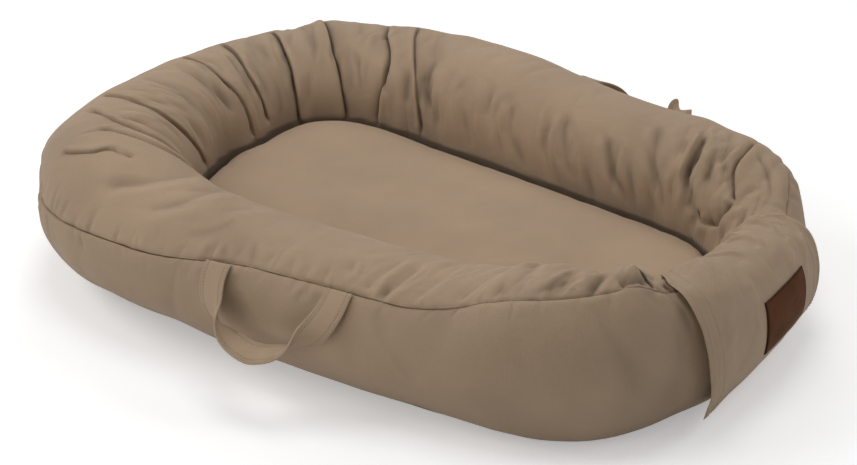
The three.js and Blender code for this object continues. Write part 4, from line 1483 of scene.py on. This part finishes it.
def tinted(colour, share, limit=1.0):
    return tuple(min(c * share, limit) for c in colour)


def bumped(tree, height, strength, distance, below=None):
    """A normal tipped by a height, over another normal where one is given."""
    bump = tree.nodes.new("ShaderNodeBump")
    set_inputs(bump, {"Strength": strength, "Distance": distance})
    tree.links.new(height, bump.inputs["Height"])
    if below is not None:
        tree.links.new(below, bump.inputs["Normal"])
    return bump.outputs[0]


def attribute(tree, name):
    node = tree.nodes.new("ShaderNodeAttribute")
    node.attribute_name = name
    return node.outputs["Fac"]


def build_weave():
    """Fine twill: diagonal ribs crossed by threads, as a height and a mask of the gaps."""
    group, given, result = shader_group(
        "twill_weave",
        [("Vector", "NodeSocketVector", None), ("Threads per metre", "NodeSocketFloat", 1100.0)],
        [("Height", "NodeSocketFloat"), ("Gaps", "NodeSocketFloat")],
    )
    split = group.nodes.new("ShaderNodeSeparateXYZ")
    group.links.new(given.outputs["Vector"], split.inputs[0])
    scale = given.outputs["Threads per metre"]
    u = math_node(group, "MULTIPLY", split.outputs[0], scale)
    v = math_node(group, "MULTIPLY", split.outputs[1], scale)
    turn = 2 * math.pi
    both = math_node(group, "ADD", u, v)
    apart = math_node(group, "SUBTRACT", u, v)
    diagonal = math_node(group, "SINE", math_node(group, "MULTIPLY", both, turn / 2))
    warp = math_node(group, "SINE", math_node(group, "MULTIPLY", apart, turn))
    raised = math_node(group, "MULTIPLY_ADD", warp, 0.35)
    group.links.new(diagonal, raised.node.inputs[2])
    group.links.new(raised, result.inputs["Height"])
    gaps = math_node(group, "SUBTRACT", 0.25, raised)
    group.links.new(gaps, result.inputs["Gaps"])
    return group


def build_mottle():
    """Uneven dye and small rubs, as values round 0."""
    group, given, result = shader_group(
        "uneven_dye",
        [
            ("Vector", "NodeSocketVector", None), ("Broad", "NodeSocketFloat", 9.0),
            ("Fine", "NodeSocketFloat", 420.0),
        ],
        [("Shade", "NodeSocketFloat"), ("Slub", "NodeSocketFloat")],
    )
    for title, detail, target in (("Broad", 3.0, "Shade"), ("Fine", 2.0, "Slub")):
        noise = group.nodes.new("ShaderNodeTexNoise")
        noise.inputs["Detail"].default_value = detail
        group.links.new(given.outputs["Vector"], noise.inputs["Vector"])
        group.links.new(given.outputs[title], noise.inputs["Scale"])
        centred = math_node(group, "SUBTRACT", noise.outputs["Fac"], 0.5)
        group.links.new(centred, result.inputs[target])
    return group


def build_crumple():
    """Soft small creases of washed cotton, as a height."""
    group, given, result = shader_group(
        "soft_crumple",
        [("Vector", "NodeSocketVector", None), ("Scale", "NodeSocketFloat", 26.0)],
        [("Height", "NodeSocketFloat")],
    )
    low = group.nodes.new("ShaderNodeTexNoise")
    set_inputs(low, {"Detail": 4.0, "Roughness": 0.55, "Distortion": 0.6})
    group.links.new(given.outputs["Vector"], low.inputs["Vector"])
    group.links.new(given.outputs["Scale"], low.inputs["Scale"])
    group.links.new(low.outputs["Fac"], result.inputs["Height"])
    return group


weave_group = build_weave()
mottle_group = build_mottle()
crumple_group = build_crumple()


def placed_group(material, group, vector, values):
    node = material.node_tree.nodes.new("ShaderNodeGroup")
    node.node_tree = group
    material.node_tree.links.new(vector, node.inputs["Vector"])
    set_inputs(node, values)
    return node


def new_material(name):
    material = bpy.data.materials.new(name)
    material.use_nodes = True
    tree = material.node_tree
    return material, tree, tree.nodes["Principled BSDF"]


def mixed(tree, factor, first, second):
    node = tree.nodes.new("ShaderNodeMix")
    node.data_type = "RGBA"
    for socket, value in ((node.inputs[0], factor), (node.inputs[6], first), (node.inputs[7], second)):
        if isinstance(value, (int, float)):
            socket.default_value = value
        elif isinstance(value, (tuple, list)):
            socket.default_value = (*value, 1.0)
        else:
            tree.links.new(value, socket)
    return node.outputs[2]


# How dyed surfaces look: contrast of the dye, its dark and light tints, and the roughness over slubs.
cloth_dye = {"contrast": 1.6, "dark": 0.86, "light": 1.1, "roughness": 0.88, "slub_roughness": 0.12}
cloth_dye_scales = {"Broad": 7.0, "Fine": 380.0}
leather_dye = {"contrast": 1.8, "dark": 0.74, "light": 1.22, "roughness": 0.72, "slub_roughness": 0.3}
leather_dye_scales = {"Broad": 34.0, "Fine": 260.0}
plain_dye = {"contrast": 1.5, "dark": 0.85, "light": 1.15, "slub_roughness": 0.3}
dye_middle = 0.5

# Cloth: how strongly each mask is mixed in, from where, and the tint it brings. The fold mask paints shade
# into folds, and the ridge mask paints a highlight onto raised ridges.
slub_gain = 0.5
slub_tint = 1.3
slub_limit = 2.0
gap_gain = 0.16
gap_tint = 0.5
# Painted shade in folds: how strongly fold depth darkens the colour, from where, and the dark tint.
fold_shade_gain = 0.92
fold_shade_start = 0.11
fold_shade_tint = 0.26
# Painted highlight on raised ridges: how strongly a bulge lightens the colour, from where, and the light
# tint.
ridge_highlight_gain = -0.6
ridge_highlight_start = 0.04
ridge_highlight_tint = 1.25
cloth_gloss = {"Sheen Weight": 0.12, "Sheen Roughness": 0.5, "Specular IOR Level": 0.2}
crumple_depth = 0.004
weave_depth = 0.0004


def dyed(material, tree, shader, vector, scales, colour, look):
    """A colour with uneven dye in it, and the slubs that also set the roughness."""
    dye = placed_group(material, mottle_group, vector, scales)
    shade = scaled(tree, dye.outputs["Shade"], look["contrast"], dye_middle)
    rough = scaled(tree, dye.outputs["Slub"], look["slub_roughness"], look["roughness"])
    tree.links.new(rough, shader.inputs["Roughness"])
    base = mixed(tree, shade, tinted(colour, look["dark"]), tinted(colour, look["light"]))
    return base, dye.outputs["Slub"]


def cloth_material(
    name, colour, threads=1100.0, weave=0.25, crumple=0.35, crumple_scale=26.0, folds=False, uv=True,
):
    """Matte cotton twill with uneven dye, slubs and soft crumples; with folds set, painted shade in its
    valleys and a painted highlight on its ridges.
    """
    material, tree, shader = new_material(name)
    coordinates = tree.nodes.new("ShaderNodeTexCoord")
    place = coordinates.outputs["Object"]
    surface = coordinates.outputs["UV"] if uv else place
    twill = placed_group(material, weave_group, surface, {"Threads per metre": threads})
    rumple = placed_group(material, crumple_group, place, {"Scale": crumple_scale})
    base, slub = dyed(material, tree, shader, place, cloth_dye_scales, colour, cloth_dye)
    base = mixed(tree, past(tree, slub, slub_gain), base, tinted(colour, slub_tint, slub_limit))
    base = mixed(tree, past(tree, twill.outputs["Gaps"], gap_gain), base, tinted(colour, gap_tint))
    if folds:
        depth = attribute(tree, "fold")
        # Painted shade: deep values of the fold attribute turn the colour toward a dark tint.
        base = mixed(tree, past(tree, depth, fold_shade_gain, fold_shade_start), base, tinted(colour, fold_shade_tint))
        # Painted highlight: raised ridges, where the fold attribute is below zero, turn toward a lighter
        # tint.
        base = mixed(tree, past(tree, depth, ridge_highlight_gain, ridge_highlight_start), base, tinted(colour, ridge_highlight_tint))
    tree.links.new(base, shader.inputs["Base Color"])
    set_inputs(shader, cloth_gloss)
    soft = bumped(tree, rumple.outputs["Height"], crumple, crumple_depth)
    fine = bumped(tree, twill.outputs["Height"], weave, weave_depth, soft)
    tree.links.new(fine, shader.inputs["Normal"])
    return material


def srgb(red, green, blue):
    """A colour seen on a screen, as the linear values a shader takes."""
    def linear(value):
        v = value / 255
        return v / 12.92 if v <= 0.04045 else ((v + 0.055) / 1.055) ** 2.4
    return (linear(red), linear(green), linear(blue))


leather_rim_gain = 0.75
leather_rim_tint = 0.3
leather_grain = {"scale": 620.0, "strength": 0.35, "depth": 0.0006}


def leather_material():
    """Dark leather with a pebbled grain and a burnt rim."""
    material, tree, shader = new_material("dark_leather")
    place = tree.nodes.new("ShaderNodeTexCoord").outputs["Object"]
    pebbles = tree.nodes.new("ShaderNodeTexVoronoi")
    pebbles.feature = "DISTANCE_TO_EDGE"
    set_inputs(pebbles, {"Scale": leather_grain["scale"]})
    tree.links.new(place, pebbles.inputs["Vector"])
    colour = srgb(85, 50, 25)
    base, _ = dyed(material, tree, shader, place, leather_dye_scales, colour, leather_dye)
    burnt = math_node(tree, "MULTIPLY", attribute(tree, "rim"), leather_rim_gain)
    base = mixed(tree, burnt, base, tinted(colour, leather_rim_tint))
    tree.links.new(base, shader.inputs["Base Color"])
    set_inputs(shader, {"Specular IOR Level": 0.065})
    grain = bumped(tree, pebbles.outputs["Distance"], leather_grain["strength"], leather_grain["depth"])
    tree.links.new(grain, shader.inputs["Normal"])
    return material


def simple_material(name, colour, roughness, scale, depth, metallic=0.0, brushed=False):
    """Moulded plastic, rubber, foam or metal: mottled, with a fine bump of its own."""
    material, tree, shader = new_material(name)
    vector = tree.nodes.new("ShaderNodeTexCoord").outputs["Object"]
    if brushed:
        stretch = tree.nodes.new("ShaderNodeMapping")
        set_inputs(stretch, {"Scale": (1.0, 0.06, 1.0)})
        tree.links.new(vector, stretch.inputs["Vector"])
        vector = stretch.outputs[0]
    scales = {"Broad": scale / 6, "Fine": scale}
    base, slub = dyed(material, tree, shader, vector, scales, colour, {**plain_dye, "roughness": roughness})
    tree.links.new(base, shader.inputs["Base Color"])
    set_inputs(shader, {"Metallic": metallic})
    tree.links.new(bumped(tree, slub, 0.4, depth), shader.inputs["Normal"])
    return material


taupe = srgb(171, 147, 122)
panel_cloth = cloth_material("panel_cotton", taupe, crumple=0.5, folds=True)
band_cloth = cloth_material("band_cotton", tinted(taupe, 0.93), crumple=0.42, folds=True)
mattress_cloth = cloth_material("mattress_cotton", tinted(taupe, 1.04), crumple=0.32)
flap_cloth = cloth_material("flap_cotton", tinted(taupe, 0.98), crumple=0.45, folds=True)
strap_cloth = cloth_material(
    "strap_cotton", tinted(taupe, 0.99), crumple=0.25, crumple_scale=60.0, folds=True,
)
base_cloth = cloth_material("base_cotton", tinted(taupe, 0.8), uv=False)
liner_cloth = cloth_material("liner_cotton", (0.75, 0.74, 0.7), threads=900.0, crumple=0.6)
fibre = cloth_material(
    "loose_fibre", (0.86, 0.86, 0.85), threads=300.0, crumple=1.0, crumple_scale=90.0, uv=False,
)
loop_pile = cloth_material(
    "loop_pile", srgb(120, 104, 88), threads=700.0, weave=1.0, crumple=0.8, crumple_scale=300.0,
)
tape_cloth = cloth_material("tape_weave", srgb(140, 122, 102), threads=1400.0, weave=0.5, crumple=0.1)
leather = leather_material()
foam = simple_material("cell_foam", (0.84, 0.79, 0.6), 0.95, 900.0, 0.0012)
rubber = simple_material("grip_rubber", (0.03, 0.03, 0.032), 0.75, 700.0, 0.0004)
hook_plastic = simple_material("hook_plastic", srgb(104, 92, 78), 0.55, 1500.0, 0.0006)
coil_plastic = simple_material("coil_plastic", srgb(126, 110, 92), 0.45, 800.0, 0.0002)
slider_metal = simple_material(
    "slider_metal", (0.5, 0.49, 0.47), 0.34, 900.0, 0.00008, metallic=1.0, brushed=True,
)
thread = cloth_material("thread", tinted(taupe, 1.02), threads=2500.0, crumple=0.1, uv=False)


def dress(piece, material, body, replaces=()):
    """Gives a piece its finish and its body, and hides the solids it stands for."""
    piece.data.materials.clear()
    piece.data.materials.append(material)
    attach(piece, body)
    if replaces:
        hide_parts(*replaces)
    return piece


# The pieces of the nest.

top_cover = dress(cover_piece("top_cover", True), panel_cloth, "nest", ["top_panel"])
side_cover = dress(cover_piece("side_cover", False), band_cloth, "nest", ["side_band"])
lining = dress(inner_liner(), liner_cloth, "nest", ["roll_liner"])
filling = dress(inner_filling(), fibre, "nest", ["roll_fibre_filling"])

mattress_piece = dress(mattress_cover(), mattress_cloth, "mattress", ["mattress_cover_top"])
tray = dress(mattress_tray(), mattress_cloth, "mattress", ["mattress_cover_base"])
core = dress(mattress_core(), foam, "mattress", ["mattress_foam"])

base_low = grip_thickness + layer_gap
floor_pad = flat_pad("base_pad", base_inset, base_low, base_low + base_panel_thickness, 3, quilt=0.45)
dress(floor_pad, base_cloth, "nest", ["base_panel"])
dot_height = 0.5
grip = flat_pad("grip_cloth", base_inset + grip_inset, dot_height, grip_thickness, 0.5)
dress(grip, rubber, "nest", ["grip_sheet"])


def dot_places():
    """A staggered field of dots inside the grip sheet and clear of the zip."""
    pitch, margin = 13, 9
    outline = inset_outline(base_inset + grip_inset + margin, 120)
    rows = np.arange(outline[:, 1].min(), outline[:, 1].max(), pitch * 0.866)
    places = []
    for k, y in enumerate(rows):
        for x in np.arange(outline[:, 0].min() + (k % 2) * pitch / 2, outline[:, 0].max(), pitch):
            near_zip = abs(x - zip_place) < zip_tape_width and abs(y) < zip_length / 2 + margin
            if not near_zip and inside_outline(x, y, outline):
                places.append((x, y, dot_height))
    return np.array(places)


def inside_outline(x, y, outline):
    following = np.roll(outline, -1, 0)
    straddles = (outline[:, 1] > y) != (following[:, 1] > y)
    cross_x = outline[:, 0] + (y - outline[:, 1]) * (following[:, 0] - outline[:, 0]) / np.where(
        following[:, 1] == outline[:, 1], 1e-9, following[:, 1] - outline[:, 1]
    )
    return bool((straddles & (x < cross_x)).sum() % 2)


dot_radius = 2.4
dots = grown("grip_dots", dot_places(), [], bead_tree("grip_dots", 8, 4, False), {
    "Size": (dot_radius / metre, dot_radius / metre, dot_height / metre), "Coat": rubber,
})
dress(dots, rubber, "nest")

# The flap and what is sewn to it.

stitched = bead_tree("stitched_line", 6, 5, True)
flap, flap_lines, flap_area = flap_piece()
dress(flap, flap_cloth, "foot_flap", ["foot_flap"])
flap_stitches = stitches("flap_stitches", flap_lines, stitched, thread)
dress(flap_stitches, thread, "foot_flap")
strip_share = foot_arc_share * strip_half_angle / 90
strip_shares = (-strip_share, strip_share)
strip_angles = (strip_top_angle, strip_bottom_angle)
hook_lift = flap_gap - hook_gap - strip_thickness
strip_grid = (90, 20)
patch_grid = (72, 50)
loop, loop_area = over_foot(
    "loop_pile_strip", strip_shares, strip_angles, layer_gap, strip_thickness, *strip_grid,
    ease=False,
)
dress(loop, loop_pile, "nest", ["loop_strip"])
hook, hook_area = over_foot(
    "hook_tape_strip", strip_shares, strip_angles, hook_lift, strip_thickness, *strip_grid,
)
dress(hook, hook_plastic, "foot_flap", ["hook_strip"])
patch_middle = patch_place * share_across
patch_half = patch_width / 2 * share_across
patch, patch_area = over_foot(
    "patch_of_leather", (patch_middle - patch_half, patch_middle + patch_half),
    (patch_top_angle, patch_bottom_angle), flap_gap + flap_thickness + patch_gap * 0.4,
    patch_thickness, *patch_grid, bulge=0.35,
)
dress(patch, leather, "foot_flap", ["leather_patch"])
root, root_area = flap_root_piece()
dress(root, flap_cloth, "nest", ["flap_root"])

# The handles.

for name, strap, body in (("near_strap", near_strap, "near_handle"), ("far_strap", far_strap, "far_handle")):
    piece, lines = strap_piece(name, strap, 61)
    dress(piece, strap_cloth, body, [body])
    seams = dress(stitches(name + "_stitches", lines, stitched, thread), thread, body)
    strap_length(strap) / metre

# The zip.

for node, side in (("zip_tape_head", -1), ("zip_tape_foot", 1)):
    piece, area = zip_tape(node + "_cloth", side)
    dress(piece, tape_cloth, "nest", [node])
for node, material in (("zip_coil", coil_plastic), ("zip_slider", slider_metal)):
    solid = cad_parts[node]
    solid.data.materials.clear()
    solid.data.materials.append(material)

# The studio: a pale floor, a white surround for the camera, and soft light from above.


floor_lift = 0.33
floor_fade = (0.7, 1.9)


def stage_floor():
    """A pale floor that turns plain white to the camera away from the nest."""
    size = 6.0
    mesh = bpy.data.meshes.new("studio_floor")
    corners = [(-size, -size, 0), (size, -size, 0), (size, size, 0), (-size, size, 0)]
    mesh.from_pydata(corners, [], [[0, 1, 2, 3]])
    floor = placed_object("studio_floor", mesh)
    material, tree, shader = new_material("studio_floor")
    set_inputs(shader, {
        "Base Color": (0.9, 0.9, 0.9, 1), "Roughness": 0.95, "Specular IOR Level": 0.0,
        "Emission Color": (1, 1, 1, 1),
    })
    path = tree.nodes.new("ShaderNodeLightPath")
    seen = math_node(tree, "MAXIMUM", path.outputs["Is Camera Ray"], path.outputs["Is Glossy Ray"])
    lift = math_node(tree, "MULTIPLY", seen, floor_lift)
    tree.links.new(lift, shader.inputs["Emission Strength"])
    white = tree.nodes.new("ShaderNodeEmission")
    set_inputs(white, {"Strength": 1.0})
    place = tree.nodes.new("ShaderNodeTexCoord")
    radius = tree.nodes.new("ShaderNodeVectorMath")
    radius.operation = "LENGTH"
    tree.links.new(place.outputs["Object"], radius.inputs[0])
    fade = tree.nodes.new("ShaderNodeMapRange")
    fade.interpolation_type = "SMOOTHSTEP"
    set_inputs(fade, {"From Min": floor_fade[0], "From Max": floor_fade[1]})
    tree.links.new(radius.outputs["Value"], fade.inputs["Value"])
    blend = tree.nodes.new("ShaderNodeMixShader")
    tree.links.new(math_node(tree, "MULTIPLY", seen, fade.outputs["Result"]), blend.inputs[0])
    tree.links.new(shader.outputs[0], blend.inputs[1])
    tree.links.new(white.outputs[0], blend.inputs[2])
    tree.links.new(blend.outputs[0], tree.nodes["Material Output"].inputs["Surface"])
    mesh.materials.append(material)


stage_floor()


def white_surround(strength):
    """The world: white to the camera and to gloss, and a plain soft light to the rest."""
    world = bpy.data.worlds.new("studio")
    bpy.context.scene.world = world
    world.use_nodes = True
    tree = world.node_tree
    light = tree.nodes["Background"]
    set_inputs(light, {"Color": (1, 1, 1, 1), "Strength": strength})
    seen = tree.nodes.new("ShaderNodeBackground")
    set_inputs(seen, {"Color": (1, 1, 1, 1), "Strength": 1.0})
    path = tree.nodes.new("ShaderNodeLightPath")
    rays = math_node(tree, "MAXIMUM", path.outputs["Is Camera Ray"], path.outputs["Is Glossy Ray"])
    rays = math_node(tree, "MAXIMUM", rays, path.outputs["Is Transmission Ray"])
    mix = tree.nodes.new("ShaderNodeMixShader")
    tree.links.new(rays, mix.inputs[0])
    tree.links.new(light.outputs[0], mix.inputs[1])
    tree.links.new(seen.outputs[0], mix.inputs[2])
    tree.links.new(mix.outputs[0], tree.nodes["World Output"].inputs["Surface"])


white_surround(0.27)


def soft_light(name, place, target, size, power):
    data = bpy.data.lights.new(name, "AREA")
    data.shape = "DISK"
    data.size = size
    data.energy = power
    light = placed_object(name, data)
    light.location = place
    aim = Vector(target) - Vector(place)
    light.rotation_mode = "QUATERNION"
    light.rotation_quaternion = aim.to_track_quat("-Z", "Y")


lights = [
    ("above", (0, 0, 2.6), 0.1, 14), ("left", (-1.6, -1.1, 1.8), 0.1, 17),
    ("right", (1.6, 1.1, 1.8), 0.1, 9.5), ("behind", (-1.1, 1.6, 2.0), 0.1, 10),
    ("front", (-0.2, -2.1, 0.8), 0.05, 6),
]
for name, place, aim_height, power in lights:
    soft_light(name, place, (0, 0, aim_height), 1.3, power)

# The camera, where the photograph was taken from.
camera_turn = math.radians(34.84)
camera_rise = math.radians(29.70)
camera_roll = math.radians(-0.508)
camera_distance = 2064.2
camera_focus_px = 1749.06
camera_aside = 1.8
camera_below = -17.9
camera_height = 70
picture_width_px = 857
sensor_width = 36


def photograph_camera():
    level = math.cos(camera_rise)
    back = np.array([
        math.sin(camera_turn) * level, -math.cos(camera_turn) * level, math.sin(camera_rise),
    ])
    flat_right = np.array([math.cos(camera_turn), math.sin(camera_turn), 0])
    flat_up = np.cross(back, flat_right)
    right = flat_right * math.cos(camera_roll) + flat_up * math.sin(camera_roll)
    up = flat_up * math.cos(camera_roll) - flat_right * math.sin(camera_roll)
    target = np.array([0, 0, camera_height]) + right * camera_aside + up * camera_below
    place = in_frame(target + back * camera_distance)
    data = bpy.data.cameras.new("camera")
    data.sensor_width = sensor_width
    data.lens = camera_focus_px * sensor_width / picture_width_px
    camera = placed_object("camera", data)
    turned = Matrix((tuple(right), tuple(up), tuple(back))).transposed()
    camera.matrix_world = Matrix.Translation(Vector(place)) @ turned.to_4x4()
    bpy.context.scene.camera = camera


photograph_camera()
bpy.context.scene.view_settings.view_transform = "Standard"
